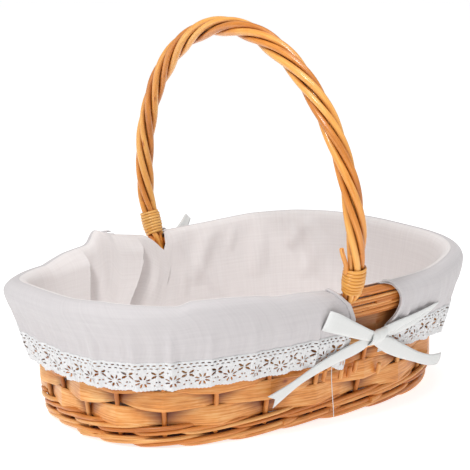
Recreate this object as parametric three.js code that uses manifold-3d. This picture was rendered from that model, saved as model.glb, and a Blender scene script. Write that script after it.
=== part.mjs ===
// An oval willow basket with a roped arch handle and a tied cotton liner.
// Millimetres, +Z up. The origin is on the standing plane under the middle of the basket.
// X runs along the basket, -Y is the front, and the handle arches across from -Y to +Y.
import * as THREE from 'three';
import { mergeVertices } from 'three/addons/utils/BufferGeometryUtils.js';
import Module from 'manifold-3d';

const wasm = await Module();
wasm.setup();

// Driving dimensions of the woven wall, measured at the middle of the stakes.
const footHalfLength = 168;
const footHalfWidth = 106;
const rimHalfLength = 190.5;
const rimHalfWidth = 139;
const rimHeight = 118;
const rightRimLift = 7.8; // how much higher the rim is at the +X end
const leftRimLift = 0.5; // and at the -X end
const planExponent = 2.9; // 2 is an ellipse, and more is squarer
const gap = 0.3; // between pieces that touch

// Stakes
const stakeCount = 24;
const stakeRadius = 2.1;
const stakeShift = -0.168; // of one spacing, from the middle of the front
const stakeCrowding = 0.17; // closer together round the ends than along the sides
const stakeTop = 106;
const stakeFootGap = 0.9;
const backStake = 12; // stands aside for the back foot of the handle
const backStakeAside = 14;

// Foot and base
const footHeight = 9.7;
const footInside = -7;
const footOutside = 5.1;
const matBottom = 3.3;
const matThickness = 4;
const baseStickRadius = 2;
const baseStickSpacing = 38;

// Weavers and border
const waleRadius = 1.7;
const waleSpacing = 3.7;
const waleBottom = 12;
const splitThickness = 2;
const splitHeight = 13.8;
const splitSpacing = 14.2;
const splitRows = 5;
const splitBottom = 21.5;
const borderRodRadius = 1.75;
const borderRodSpacing = 3.9;
const borderBottom = 96;
const innerRodRadius = 2.2;
const innerRodHeight = 102;
const topRodRadius = 3.5;
const topRodHeight = 112.4;

// Handle, along its middle line
const handleFootHalfSpan = 145;
const handleWidestHalfSpan = 154.3;
const handleWidestHeight = 164.6;
const handleTopHeight = 322.7;
const handleFootX = 6.2;
const handleLean = -0.062; // X for each millimetre of height
const handleSkew = 1.4; // how far the top is to the back of the middle
const ropeRods = 5;
const ropeRodRadius = 2.95;
const ropeRadius = 5.6; // from the handle's middle to the middle of a rod
const ropeLay = 150; // length of one whole turn
const ropeFootTaper = 0.84;
const ropeTaperLength = 34;
const coreRadius = 2.2;
const coreTipHeight = 95;
const coreBendHeight = 108;
const bindingBottom = 121;
const bindingLength = 23;
const bindingTurns = 7;
const bindingCane = 1.15; // radius
const tuckLength = 17;
const tuckRadius = 1.9;

// Liner, cuffs, lace and ties
const clothThickness = 1.4;
const linerOut = -8;
const linerFloor = 13;
const linerTop = 114.4;
const linerNotchDepth = 11;
const linerNotchHalfWidth = 15;
const cuffOut = 7.8;
const cuffTop = 117.2;
const hemHeight = 80;
const rightHemDrop = 10; // how much lower the hem hangs at the +X end
const leftHemDrop = 5; // and at the -X end
const laceHeight = 25;
const laceThickness = 1;
const ribbonWidth = 10;
const ribbonThickness = 1.6;
const ribbonOut = 11.2;
const threadRadius = 0.3;

const willow = { color: 0xc98a4a, roughness: 0.5, metalness: 0 };
const splitWillow = { color: 0xd39a5c, roughness: 0.55, metalness: 0 };
const handleWillow = { color: 0xd08a3e, roughness: 0.4, metalness: 0 };
const cane = { color: 0xd9a866, roughness: 0.5, metalness: 0 };
const cotton = { color: 0xe6e0dc, roughness: 0.9, metalness: 0 };
const laceCotton = { color: 0xf0eeec, roughness: 0.9, metalness: 0 };
const ribbonCotton = { color: 0xf2f3f0, roughness: 0.8, metalness: 0 };

const basket = new THREE.Group();

function lerp(from, to, share) {
  return from + (to - from) * share;
}

function wallHalf(height) {
  const share = height / rimHeight;
  return {
    length: lerp(footHalfLength, rimHalfLength, share),
    width: lerp(footHalfWidth, rimHalfWidth, share),
  };
}

function planPoint(half, angle) {
  const c = Math.cos(angle);
  const s = Math.sin(angle);
  const sum = Math.abs(c) ** planExponent + Math.abs(s) ** planExponent;
  const reach = sum ** (-1 / planExponent);
  return new THREE.Vector2(half.length * reach * c, half.width * reach * s);
}

// Angle of the plan curve against the share of its length, from the middle of the front towards +X.
const angleSteps = 1440;
const lengthAt = [0];
const middleHalf = wallHalf(rimHeight / 2);
for (let i = 1; i <= angleSteps; i += 1) {
  const from = planPoint(middleHalf, -Math.PI / 2 + ((i - 1) * 2 * Math.PI) / angleSteps);
  const to = planPoint(middleHalf, -Math.PI / 2 + (i * 2 * Math.PI) / angleSteps);
  lengthAt.push(lengthAt[i - 1] + from.distanceTo(to));
}
const perimeter = lengthAt[angleSteps];

function angleAt(share) {
  const length = (share - Math.floor(share)) * perimeter;
  let low = 0;
  let high = angleSteps;
  while (high - low > 1) {
    const middle = (low + high) >> 1;
    if (lengthAt[middle] <= length) {
      low = middle;
    } else {
      high = middle;
    }
  }
  const within = (length - lengthAt[low]) / (lengthAt[high] - lengthAt[low]);
  return -Math.PI / 2 + ((low + within) * 2 * Math.PI) / angleSteps;
}

// A point beside the wall: share of the way round, height, and distance out from the stakes.
function wallPoint(share, height, out) {
  const half = wallHalf(height);
  const angle = angleAt(share);
  const here = planPoint(half, angle);
  const along = planPoint(half, angle + 0.004).sub(planPoint(half, angle - 0.004)).normalize();
  const endLift = here.x < 0 ? leftRimLift : rightRimLift;
  const lift = endLift * (here.x / rimHalfLength) ** 2 * (height / rimHeight);
  return new THREE.Vector3(here.x + along.y * out, here.y - along.x * out, height + lift);
}

// The share of the way round at a place along the front, or along the back.
function shareAtX(x, height, isBack) {
  const half = wallHalf(height);
  const across = Math.abs(x / half.length) ** planExponent;
  const y = (1 - across) ** (1 / planExponent);
  let angle = Math.atan2(isBack ? y : -y, x / half.length);
  if (angle < -Math.PI / 2) {
    angle += 2 * Math.PI;
  }
  const step = ((angle + Math.PI / 2) * angleSteps) / (2 * Math.PI);
  const low = Math.min(Math.floor(step), angleSteps - 1);
  return lerp(lengthAt[low], lengthAt[low + 1], step - low) / perimeter;
}

function stakeShare(index) {
  const even = (index + stakeShift) / stakeCount;
  const aside = index === backStake ? -backStakeAside / perimeter : 0;
  return even + (stakeCrowding * Math.sin(4 * Math.PI * even)) / (4 * Math.PI) + aside;
}

function signedVolume(geometry) {
  const place = geometry.attributes.position;
  const index = geometry.index;
  const a = new THREE.Vector3();
  const b = new THREE.Vector3();
  const c = new THREE.Vector3();
  let sum = 0;
  for (let i = 0; i < index.count; i += 3) {
    a.fromBufferAttribute(place, index.getX(i));
    b.fromBufferAttribute(place, index.getX(i + 1));
    c.fromBufferAttribute(place, index.getX(i + 2));
    sum += a.dot(b.cross(c)) / 6;
  }
  return sum;
}

// Welds a moved geometry into one closed body that faces outwards.
function welded(geometry) {
  geometry.deleteAttribute('normal');
  geometry.deleteAttribute('uv');
  const closed = mergeVertices(geometry, 1e-3);
  if (signedVolume(closed) < 0) {
    const index = closed.index;
    for (let i = 0; i < index.count; i += 3) {
      const second = index.getX(i + 1);
      index.setX(i + 1, index.getX(i + 2));
      index.setX(i + 2, second);
    }
  }
  closed.computeVertexNormals();
  return closed;
}

function moved(geometry, place) {
  const position = geometry.attributes.position;
  const vertex = new THREE.Vector3();
  for (let i = 0; i < position.count; i += 1) {
    vertex.fromBufferAttribute(position, i);
    const to = place(vertex);
    position.setXYZ(i, to.x, to.y, to.z);
  }
  return welded(geometry);
}

function add(name, geometry, finish) {
  const mesh = new THREE.Mesh(geometry, new THREE.MeshStandardMaterial(finish));
  mesh.name = name;
  basket.add(mesh);
}

function roundSection(radius, sides) {
  const points = [];
  for (let i = 0; i <= sides; i += 1) {
    const turn = (2 * Math.PI * (i + 0.5)) / sides;
    points.push(new THREE.Vector2(radius * Math.cos(turn), radius * Math.sin(turn)));
  }
  points[sides].copy(points[0]);
  return points;
}

function flatSection(thickness, height) {
  return [
    new THREE.Vector2(thickness / 2, -height / 2),
    new THREE.Vector2(thickness / 2, height / 2),
    new THREE.Vector2(-thickness / 2, height / 2),
    new THREE.Vector2(-thickness / 2, -height / 2),
    new THREE.Vector2(thickness / 2, -height / 2),
  ];
}

// A closed ring round the basket: the section is turned once round, then laid along the wall.
function ringSolid(section, steps, height, outAt, warpShare = (turn) => turn) {
  const centre = 100;
  const profile = section.map((p) => new THREE.Vector2(centre + p.x, p.y));
  const ring = new THREE.LatheGeometry(profile, steps);
  return moved(ring, (vertex) => {
    const turn = Math.atan2(vertex.x, vertex.z) / (2 * Math.PI);
    const out = Math.hypot(vertex.x, vertex.z) - centre;
    return wallPoint(warpShare(turn), height + vertex.y, outAt(turn) + out);
  });
}

// A rod along a line, with its radius given at each share of the way.
function rodSolid(lineAt, radiusAt, sides, steps, aside) {
  const rod = new THREE.CylinderGeometry(1, 1, 1, sides, steps);
  const near = 1e-3;
  return moved(rod, (vertex) => {
    const share = THREE.MathUtils.clamp(vertex.y + 0.5, 0, 1);
    const from = lineAt(Math.max(share - near, 0));
    const along = lineAt(Math.min(share + near, 1)).sub(from).normalize();
    const side = new THREE.Vector3().crossVectors(along, aside).normalize();
    const up = new THREE.Vector3().crossVectors(side, along);
    const radius = radiusAt(share);
    return lineAt(share).addScaledVector(side, vertex.x * radius).addScaledVector(up, vertex.z * radius);
  });
}

// A sheet from one box: across goes round the basket, down goes down the cloth.
function sheetSolid(steps, rows, thickness, place) {
  const box = new THREE.BoxGeometry(1, 1, 1, steps, rows, 1);
  return moved(box, (vertex) => place(vertex.x + 0.5, 0.5 - vertex.y, vertex.z * thickness));
}

// Foot and base

function makeFoot() {
  const section = [
    new THREE.Vector2(footOutside - 1.5, 0),
    new THREE.Vector2(footOutside, 3),
    new THREE.Vector2(footOutside, footHeight),
    new THREE.Vector2(footInside, footHeight),
    new THREE.Vector2(footInside, 0),
    new THREE.Vector2(footOutside - 1.5, 0),
  ];
  add('foot_ring', ringSolid(section, 72, 0, () => 0), willow);
}

function makeBase() {
  const outline = new THREE.Shape();
  const points = 48;
  for (let i = 0; i < points; i += 1) {
    const at = wallPoint(i / points, 0, footInside - gap - 0.4);
    if (i === 0) {
      outline.moveTo(at.x, at.y);
    } else {
      outline.lineTo(at.x, at.y);
    }
  }
  const mat = new THREE.ExtrudeGeometry(outline, { depth: matThickness, bevelEnabled: false });
  mat.translate(0, 0, matBottom);
  add('base_mat', welded(mat), willow);
  const stickHeight = matBottom + matThickness + gap + baseStickRadius;
  for (let i = 0; i < 3; i += 1) {
    const y = (i - 1) * baseStickSpacing;
    const half = footHalfLength + footInside - 6 - Math.abs(i - 1) * 3;
    const stick = new THREE.CylinderGeometry(baseStickRadius, baseStickRadius, 2 * half, 8);
    stick.rotateZ(Math.PI / 2);
    stick.translate(0, y, stickHeight);
    add(`base_stick_${i + 1}`, welded(stick), willow);
  }
}

// Woven wall

function makeStakes() {
  for (let i = 0; i < stakeCount; i += 1) {
    const share = stakeShare(i);
    const foot = wallPoint(share, footHeight + stakeFootGap, 0);
    const top = wallPoint(share, stakeTop, 0);
    const lineAt = (part) => foot.clone().lerp(top, part);
    const radiusAt = (part) => stakeRadius * lerp(1, 0.85, part);
    const aside = new THREE.Vector3(0.3, 1, 0).normalize();
    const stake = rodSolid(lineAt, radiusAt, 6, 1, aside);
    add(`stake_${String(i + 1).padStart(2, '0')}`, stake, willow);
  }
}

// How far out a weaver lies: one side at this stake, and where it goes at the next.
function weaveOut(turn, reach, sideAt) {
  const place = ((turn % 1) + 1) % 1 * stakeCount;
  const index = Math.floor(place);
  const within = place - index;
  const from = sideAt(index % stakeCount);
  const to = sideAt((index + 1) % stakeCount);
  const swing = (1 - Math.cos(Math.PI * within)) / 2;
  return reach * lerp(from, to, swing);
}

function weaverShare(turn) {
  const place = ((turn % 1) + 1) % 1 * stakeCount;
  const index = Math.floor(place);
  return lerp(stakeShare(index), stakeShare(index + 1), place - index);
}

function makeWeavers() {
  const stepsPerStake = 3;
  const steps = stakeCount * stepsPerStake;
  const waleReach = stakeRadius + waleRadius + gap;
  for (let row = 0; row < 3; row += 1) {
    const sideAt = (stake) => ((stake + row) % 3 === 0 ? -1 : 1);
    const height = waleBottom + row * waleSpacing;
    const outAt = (turn) => weaveOut(turn, waleReach, sideAt);
    const rod = ringSolid(roundSection(waleRadius, 4), steps, height, outAt, weaverShare);
    add(`wale_rod_${row + 1}`, rod, willow);
  }
  const splitReach = stakeRadius + splitThickness / 2 + gap + 0.1;
  for (let row = 0; row < splitRows; row += 1) {
    const sideAt = (stake) => ((stake + row) % 2 === 0 ? 1 : -1);
    const height = splitBottom + splitHeight / 2 + row * splitSpacing;
    const outAt = (turn) => weaveOut(turn, splitReach, sideAt);
    const section = flatSection(splitThickness, splitHeight);
    const split = ringSolid(section, steps, height, outAt, weaverShare);
    add(`split_weaver_${row + 1}`, split, splitWillow);
  }
}

function makeBorder() {
  const outerOut = stakeRadius + borderRodRadius + gap;
  for (let row = 0; row < 3; row += 1) {
    const height = borderBottom + row * borderRodSpacing;
    const rod = ringSolid(roundSection(borderRodRadius, 5), 48, height, () => outerOut);
    add(`border_rod_${row + 1}`, rod, willow);
  }
  const innerOut = -(stakeRadius + innerRodRadius + gap);
  const inner = ringSolid(roundSection(innerRodRadius, 5), 48, innerRodHeight, () => innerOut);
  add('border_inner_rod', inner, willow);
  // The top rod breaks off beside each foot of the handle.
  const footRoom = topRodRadius + coreRadius + gap;
  for (const [name, isRight] of [['border_top_left', false], ['border_top_right', true]]) {
    const away = isRight ? footRoom : -footRoom;
    const front = shareAtX(handleFootX + away, topRodHeight, false);
    const back = shareAtX(handleFootX + away, topRodHeight, true);
    const start = isRight ? front : back;
    const end = isRight ? back : front + (front < 0.5 ? 1 : 0);
    const lineAt = (part) => wallPoint(lerp(start, end, part), topRodHeight, 0);
    add(name, rodSolid(lineAt, () => topRodRadius, 6, 24, new THREE.Vector3(0, 0, 1)), willow);
  }
}

// Handle

class HandleLine extends THREE.Curve {
  getPoint(share) {
    const isBack = share > 0.5;
    const rise = isBack ? 2 - 2 * share : 2 * share;
    const legShare = 0.16;
    let z;
    let span;
    if (rise < legShare) {
      const up = rise / legShare;
      z = lerp(rimHeight, handleWidestHeight, up);
      span = lerp(handleFootHalfSpan, handleWidestHalfSpan, 1 - (1 - up) ** 2);
    } else {
      const turn = (((rise - legShare) / (1 - legShare)) * Math.PI) / 2;
      z = lerp(handleWidestHeight, handleTopHeight, Math.sin(turn));
      span = handleWidestHalfSpan * Math.cos(turn);
    }
    const above = Math.max(0, z - handleWidestHeight) / (handleTopHeight - handleWidestHeight);
    const x = handleFootX + handleLean * (z - rimHeight);
    return new THREE.Vector3(x, (isBack ? span : -span) + handleSkew * above, z);
  }
}

const handleLine = new HandleLine();
const handleLength = handleLine.getLength();
const acrossHandle = new THREE.Vector3(1, 0, handleLean).normalize();

// A point beside the handle's line, and the share where a leg is at a height.
function besideHandle(share, turn, out) {
  const near = 1e-3;
  const from = handleLine.getPointAt(Math.max(share - near, 0));
  const along = handleLine.getPointAt(Math.min(share + near, 1)).sub(from).normalize();
  const side = new THREE.Vector3().crossVectors(along, acrossHandle).normalize();
  const up = new THREE.Vector3().crossVectors(side, along);
  const point = handleLine.getPointAt(share);
  return point.addScaledVector(side, out * Math.cos(turn)).addScaledVector(up, out * Math.sin(turn));
}

function legShareAt(height) {
  return (height - rimHeight) / handleLength;
}

function ropeTaper(share) {
  const fromFoot = Math.min(share, 1 - share) * handleLength - legShareAt(bindingBottom) * handleLength;
  const up = THREE.MathUtils.smoothstep(fromFoot, bindingLength * 0.7, bindingLength + ropeTaperLength);
  return lerp(ropeFootTaper, 1, up);
}

function makeHandle() {
  const foot = handleLine.getPointAt(0);
  const backFoot = handleLine.getPointAt(1);
  const wallFoot = wallPoint(shareAtX(handleFootX, coreTipHeight, false), coreTipHeight, 0);
  const wallBack = wallPoint(shareAtX(handleFootX, coreTipHeight, true), coreTipHeight, 0);
  const wallBend = wallPoint(shareAtX(handleFootX, coreBendHeight, false), coreBendHeight, 0);
  const backBend = wallPoint(shareAtX(handleFootX, coreBendHeight, true), coreBendHeight, 0);
  const middle = [wallFoot, wallBend, foot];
  const steps = 40;
  for (let i = 1; i < steps; i += 1) {
    middle.push(handleLine.getPointAt(i / steps));
  }
  middle.push(backFoot, backBend, wallBack);
  const coreLine = new THREE.CatmullRomCurve3(middle);
  const coreAt = (share) => coreLine.getPointAt(share);
  const coreRadiusAt = (share) => {
    const fromTip = Math.min(share, 1 - share) * coreLine.getLength();
    return lerp(1.5, coreRadius, THREE.MathUtils.smoothstep(fromTip, 20, 90)) * 0.82;
  };
  add('handle_core', rodSolid(coreAt, coreRadiusAt, 5, 40, acrossHandle), handleWillow);
  const start = legShareAt(bindingBottom - 0.5);
  for (let i = 0; i < ropeRods; i += 1) {
    const lineAt = (part) => {
      const share = lerp(start, 1 - start, part);
      const turn = (2 * Math.PI * i) / ropeRods + (2 * Math.PI * share * handleLength) / ropeLay;
      return besideHandle(share, turn, ropeRadius * ropeTaper(share));
    };
    const radiusAt = (part) => ropeRodRadius * ropeTaper(lerp(start, 1 - start, part));
    const rod = rodSolid(lineAt, radiusAt, 6, 32, acrossHandle);
    add(`handle_rod_${i + 1}`, rod, handleWillow);
  }
}

// A cane lashing is one sleeve with a ridge for each turn, bored to clear the rods.
function makeBinding(name, isBack) {
  const sides = 12;
  const inside = ((ropeRadius + ropeRodRadius) * ropeFootTaper + gap) / Math.cos(Math.PI / sides) + 0.2;
  const outside = inside + 2 * bindingCane;
  const profile = [new THREE.Vector2(inside, 0)];
  for (let i = 0; i < bindingTurns; i += 1) {
    const at = (i * bindingLength) / bindingTurns;
    profile.push(new THREE.Vector2(outside - 0.7, at));
    profile.push(new THREE.Vector2(outside, at + bindingLength / bindingTurns / 2));
  }
  profile.push(new THREE.Vector2(outside - 0.7, bindingLength));
  profile.push(new THREE.Vector2(inside, bindingLength));
  profile.push(new THREE.Vector2(inside, 0));
  const sleeve = new THREE.LatheGeometry(profile, sides);
  const sleeveStart = legShareAt(bindingBottom);
  const geometry = moved(sleeve, (vertex) => {
    const up = sleeveStart + vertex.y / handleLength;
    const share = isBack ? 1 - up : up;
    const turn = Math.atan2(vertex.x, vertex.z);
    return besideHandle(share, turn, Math.hypot(vertex.x, vertex.z));
  });
  add(name, geometry, cane);
}

function makeTuck() {
  const outward = ropeRadius + ropeRodRadius + tuckRadius + gap + 0.5;
  const start = legShareAt(bindingBottom + bindingLength + gap);
  const turn = -Math.PI / 2;
  const lineAt = (part) => {
    const share = start + (part * tuckLength) / handleLength;
    return besideHandle(share, turn, outward + part * 1.6);
  };
  add('handle_rod_end', rodSolid(lineAt, () => tuckRadius, 8, 2, acrossHandle), handleWillow);
}

// Liner

function hemAt(share) {
  const x = wallPoint(share, hemHeight, cuffOut).x;
  const drop = x < 0 ? leftHemDrop : rightHemDrop;
  return hemHeight - drop * (x / rimHalfLength) ** 2;
}

function notchAt(point) {
  const away = Math.abs(point.x - handleFootX) / linerNotchHalfWidth;
  return linerNotchDepth * Math.max(0, 1 - away);
}

function makeLinerBag() {
  const centre = 100;
  const half = clothThickness / 2;
  const profile = [
    new THREE.Vector2(0, linerFloor - half),
    new THREE.Vector2(50, linerFloor - half),
    new THREE.Vector2(centre - 6, linerFloor - half),
    new THREE.Vector2(centre + half, linerFloor + 5),
    new THREE.Vector2(centre + half, 70),
    new THREE.Vector2(centre + half, linerTop),
    new THREE.Vector2(centre - half, linerTop),
    new THREE.Vector2(centre - half, 70),
    new THREE.Vector2(centre - half, linerFloor + 6),
    new THREE.Vector2(centre - 7, linerFloor + half),
    new THREE.Vector2(50, linerFloor + half),
    new THREE.Vector2(0, linerFloor + half),
  ];
  const bag = new THREE.LatheGeometry(profile, 48);
  const floorEdge = 50;
  const geometry = moved(bag, (vertex) => {
    const share = Math.atan2(vertex.x, vertex.z) / (2 * Math.PI);
    const reach = Math.hypot(vertex.x, vertex.z);
    const out = linerOut + Math.max(reach, floorEdge) - centre;
    const point = wallPoint(share, vertex.y, out);
    if (vertex.y > linerTop - 1) {
      const low = wallPoint(share, vertex.y - notchAt(point), out);
      point.copy(low);
    }
    if (reach < floorEdge) {
      point.x *= reach / floorEdge;
      point.y *= reach / floorEdge;
    }
    return point;
  });
  add('liner_bag', geometry, cotton);
}

// A cuff is folded over the border and hangs outside from one foot of the handle to the other.
// Its edges are at startX on one side and at endX on the other, both curves of the height.
function makeCuff(name, edgeShares) {
  const rows = [
    { height: linerTop + 1.2, out: linerOut - 0.2 },
    { height: cuffTop - 1, out: linerOut + 2 },
    { height: cuffTop, out: -3 },
    { height: cuffTop, out: 3 },
    { height: cuffTop - 2.2, out: cuffOut - 0.6 },
    { height: cuffTop - 12, out: cuffOut },
    { height: null, out: cuffOut },
  ];
  const place = (across, down, depth) => {
    const row = Math.round(down * (rows.length - 1));
    const before = rows[Math.max(row - 1, 0)];
    const after = rows[Math.min(row + 1, rows.length - 1)];
    const lastHeight = hemHeight + gap;
    const rise = (after.height ?? lastHeight) - (before.height ?? lastHeight);
    const run = after.out - before.out;
    const size = Math.hypot(rise, run);
    const [from, to] = edgeShares(rows[row].height ?? lastHeight);
    const share = lerp(from, to, across);
    const flat = rows[row].height ?? hemAt(share) + gap;
    return wallPoint(share, flat + (depth * run) / size, rows[row].out - (depth * rise) / size);
  };
  add(name, sheetSolid(30, rows.length - 1, clothThickness, place), cotton);
}

function makeLace(name, edgeShares) {
  const place = (across, down, depth) => {
    const [from, to] = edgeShares(hemHeight);
    const share = lerp(from, to, across);
    return wallPoint(share, hemAt(share) - down * laceHeight, cuffOut - 0.6 * down - depth);
  };
  add(name, sheetSolid(28, 2, laceThickness, place), laceCotton);
}

// The slit at each foot of the handle: the near cuff leans in under the foot, and the far one
// curves round it in a keyhole.
function nearEdgeX(height) {
  return lerp(26, -12, THREE.MathUtils.smoothstep(height, hemHeight, rimHeight));
}

function farEdgeX(height) {
  const up = THREE.MathUtils.clamp((height - hemHeight) / (rimHeight - hemHeight), 0, 1);
  return 42 + 19 * Math.sin(Math.PI * Math.min(1, 0.1 + up * 0.9)) ** 0.8;
}

function leftEdges(height) {
  const front = shareAtX(nearEdgeX(height), height, false);
  return [shareAtX(-farEdgeX(height), height, true), front < 0.5 ? front + 1 : front];
}

function rightEdges(height) {
  return [shareAtX(farEdgeX(height), height, false), shareAtX(-nearEdgeX(height), height, true)];
}

// Ties

function solidOf(geometry) {
  const vertProperties = Float32Array.from(geometry.attributes.position.array);
  const triVerts = Uint32Array.from(geometry.index.array);
  return new wasm.Manifold(new wasm.Mesh({ numProp: 3, vertProperties, triVerts }));
}

function geometryOf(solid) {
  const mesh = solid.getMesh();
  const geometry = new THREE.BufferGeometry();
  geometry.setAttribute('position', new THREE.BufferAttribute(mesh.vertProperties, 3));
  geometry.setIndex(new THREE.BufferAttribute(mesh.triVerts, 1));
  return welded(geometry);
}

// A flat ribbon over the cloth: each stop gives a place along X, a height and a distance out.
function ribbonStrip(stops, isBack) {
  const turned = isBack ? -1 : 1;
  const line = new THREE.CatmullRomCurve3(stops.map((s) => new THREE.Vector3(s[0], s[1], s[2])));
  const steps = (stops.length - 1) * 2;
  return sheetSolid(steps, 1, ribbonThickness, (across, down, depth) => {
    const at = line.getPointAt(across);
    const along = line.getTangentAt(across);
    const size = Math.hypot(along.x, along.y);
    const aside = (0.5 - down) * ribbonWidth;
    const x = turned * (at.x - (aside * along.y) / size);
    const height = at.y + (aside * along.x) / size;
    return wallPoint(shareAtX(x, height, isBack), height, at.z - depth);
  });
}

function makeBow(name, isBack) {
  const out = ribbonOut;
  const leftTail = [[41, 69, out + 1], [18, 65, out], [-24, 48, out], [-56, 30, out - 1]];
  const rightTail = [[41, 69, out + 1], [74, 54, out + 2], [106, 40, out + 1], [138, 30, out - 1]];
  // The loop of the bow at the back is longer and stands up past the rim.
  const [middle, middleHeight, tip, tipHeight] = isBack ? [2, 101, -44, 127] : [16, 86, -16, 99];
  const loopBack = [[41, 69, out + 1], [middle, middleHeight, out - 0.8], [tip, tipHeight, out]];
  const loopFront = [[41, 69, out + 3], [middle, middleHeight, out + 6], [tip, tipHeight, out + 0.2]];
  const strap = [[41, 69, out], [62, 75, out - 0.6], [104, 83, out - 1.2]];
  let bow = solidOf(ribbonStrip(leftTail, isBack));
  for (const stops of [rightTail, loopBack, loopFront, strap]) {
    bow = bow.add(solidOf(ribbonStrip(stops, isBack)));
  }
  const turned = isBack ? -1 : 1;
  const knotAt = wallPoint(shareAtX(turned * 41, 69, isBack), 69, out + 1);
  const knot = new THREE.SphereGeometry(1, 10, 8);
  knot.scale(6.5, 4, 7);
  knot.translate(knotAt.x, knotAt.y, knotAt.z);
  bow = bow.add(solidOf(welded(knot)));
  add(name, geometryOf(bow), ribbonCotton);
}

// A loose thread hangs from the corner of the front lace.
function makeThread() {
  const route = [
    [-1.4, 52.5, 9], [-1.3, 50, 9.4], [-1.2, 47, 10], [-1, 44, 10.6], [-0.8, 41, 11.3],
    [-0.6, 38, 12.1], [-0.4, 35, 12.9], [-0.2, 32, 13.7], [0.1, 29, 14.5], [0.4, 26, 15.3],
    [0.7, 23, 16.1], [1, 20, 16.9], [1.3, 17, 17.6], [1.6, 14, 18.3], [1.9, 11, 19],
    [2.2, 8, 19.6],
  ];
  const points = route.map(([x, height, out]) => wallPoint(shareAtX(x, height, false), height, out));
  const line = new THREE.CatmullRomCurve3(points);
  const lineAt = (share) => line.getPointAt(share);
  const aside = new THREE.Vector3(0, 1, 0);
  add('loose_thread', rodSolid(lineAt, () => threadRadius, 8, 18, aside), cotton);
}

makeFoot();
makeBase();
makeStakes();
makeWeavers();
makeBorder();
makeHandle();
makeBinding('binding_front', false);
makeBinding('binding_back', true);
makeTuck();
makeLinerBag();
makeCuff('liner_cuff_left', leftEdges);
makeCuff('liner_cuff_right', rightEdges);
makeLace('lace_left', leftEdges);
makeLace('lace_right', rightEdges);
makeBow('tie_bow_front', false);
makeBow('tie_bow_back', true);
makeThread();

export default basket;
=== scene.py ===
import math

import bmesh
import bpy
import numpy as np
from mathutils import Matrix, Vector


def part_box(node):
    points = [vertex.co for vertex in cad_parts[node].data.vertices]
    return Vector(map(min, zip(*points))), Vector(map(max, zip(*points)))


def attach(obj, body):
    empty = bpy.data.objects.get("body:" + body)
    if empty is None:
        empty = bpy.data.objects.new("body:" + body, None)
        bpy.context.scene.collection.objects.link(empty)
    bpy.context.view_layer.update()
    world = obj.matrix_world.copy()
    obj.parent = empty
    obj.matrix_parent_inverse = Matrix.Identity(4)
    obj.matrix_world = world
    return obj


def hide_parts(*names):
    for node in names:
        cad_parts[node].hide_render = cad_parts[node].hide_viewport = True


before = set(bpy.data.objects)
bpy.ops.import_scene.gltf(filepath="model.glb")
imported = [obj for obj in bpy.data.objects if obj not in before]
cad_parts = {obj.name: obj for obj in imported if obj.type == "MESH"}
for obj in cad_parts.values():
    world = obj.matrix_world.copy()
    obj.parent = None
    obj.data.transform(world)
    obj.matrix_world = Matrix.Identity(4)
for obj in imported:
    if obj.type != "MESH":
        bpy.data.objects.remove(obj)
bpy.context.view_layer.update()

scene = bpy.context.scene
draw = np.random.RandomState(12)
mm = 0.001  # the shapes below are worked out in millimetres and made in metres

wall = {
    "footHalfLength": 168,  # of the line through the middle of the stakes
    "footHalfWidth": 106,
    "rimHalfLength": 190.5,
    "rimHalfWidth": 139,
    "rimHeight": 118,
    "leftRimLift": 0.5,  # how much higher the rim is at the -X end
    "rightRimLift": 7.8,  # and at the +X end
    "planExponent": 2.9,  # 2 is an ellipse, more is squarer
    "stakes": 24,
    "stakeShift": -0.168,
    "stakeCrowding": 0.17,  # the stakes stand closer at the two ends
    "backStake": 12,  # this one makes way for the handle's back foot
    "backStakeAside": 14,
}


# a point of the basket's plan, an oval with full corners
def planPoint(halfLength, halfWidth, angle):
    c, s = np.cos(angle), np.sin(angle)
    power = wall["planExponent"]
    reach = (np.abs(c) ** power + np.abs(s) ** power) ** (-1 / power)
    return np.stack([halfLength * reach * c, halfWidth * reach * s], -1)


def wallHalf(height):
    up = np.asarray(height, float) / wall["rimHeight"]
    halfLength = wall["footHalfLength"] + (wall["rimHalfLength"] - wall["footHalfLength"]) * up
    halfWidth = wall["footHalfWidth"] + (wall["rimHalfWidth"] - wall["footHalfWidth"]) * up
    return halfLength, halfWidth


turnAngles = np.linspace(-math.pi / 2, 1.5 * math.pi, 1441)
middlePlan = planPoint(*wallHalf(wall["rimHeight"] / 2), turnAngles)
lengthAt = np.concatenate([[0], np.cumsum(np.linalg.norm(np.diff(middlePlan, axis=0), axis=1))])
perimeter = lengthAt[-1]


def angleAt(share):
    return np.interp(np.mod(share, 1) * perimeter, lengthAt, turnAngles)


# A point beside the wall: share of the way round from the middle of the front towards +X, height,
# and distance out from the stakes.
def wallPoint(share, height, out):
    share, height, out = np.broadcast_arrays(
        np.asarray(share, float), np.asarray(height, float), np.asarray(out, float))
    half = wallHalf(height)
    angle = angleAt(share)
    here = planPoint(*half, angle)
    along = planPoint(*half, angle + 0.004) - planPoint(*half, angle - 0.004)
    along = along / np.linalg.norm(along, axis=-1, keepdims=True)
    endLift = np.where(here[..., 0] < 0, wall["leftRimLift"], wall["rightRimLift"])
    lift = endLift * (here[..., 0] / wall["rimHalfLength"]) ** 2 * height / wall["rimHeight"]
    x = here[..., 0] + along[..., 1] * out
    y = here[..., 1] - along[..., 0] * out
    return np.stack([x, y, height + lift], -1)


# the share of the way round at a place along X, on the front or the back
def shareAtX(x, height, isBack=False):
    halfLength = wallHalf(height)[0]
    x, halfLength = np.broadcast_arrays(np.asarray(x, float), halfLength)
    across = np.clip(np.abs(x / halfLength), 0, 1) ** wall["planExponent"]
    y = (1 - across) ** (1 / wall["planExponent"])
    angle = np.arctan2(y if isBack else -y, x / halfLength)
    angle = np.where(angle < -math.pi / 2, angle + 2 * math.pi, angle)
    return np.interp(angle, turnAngles, lengthAt) / perimeter


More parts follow.
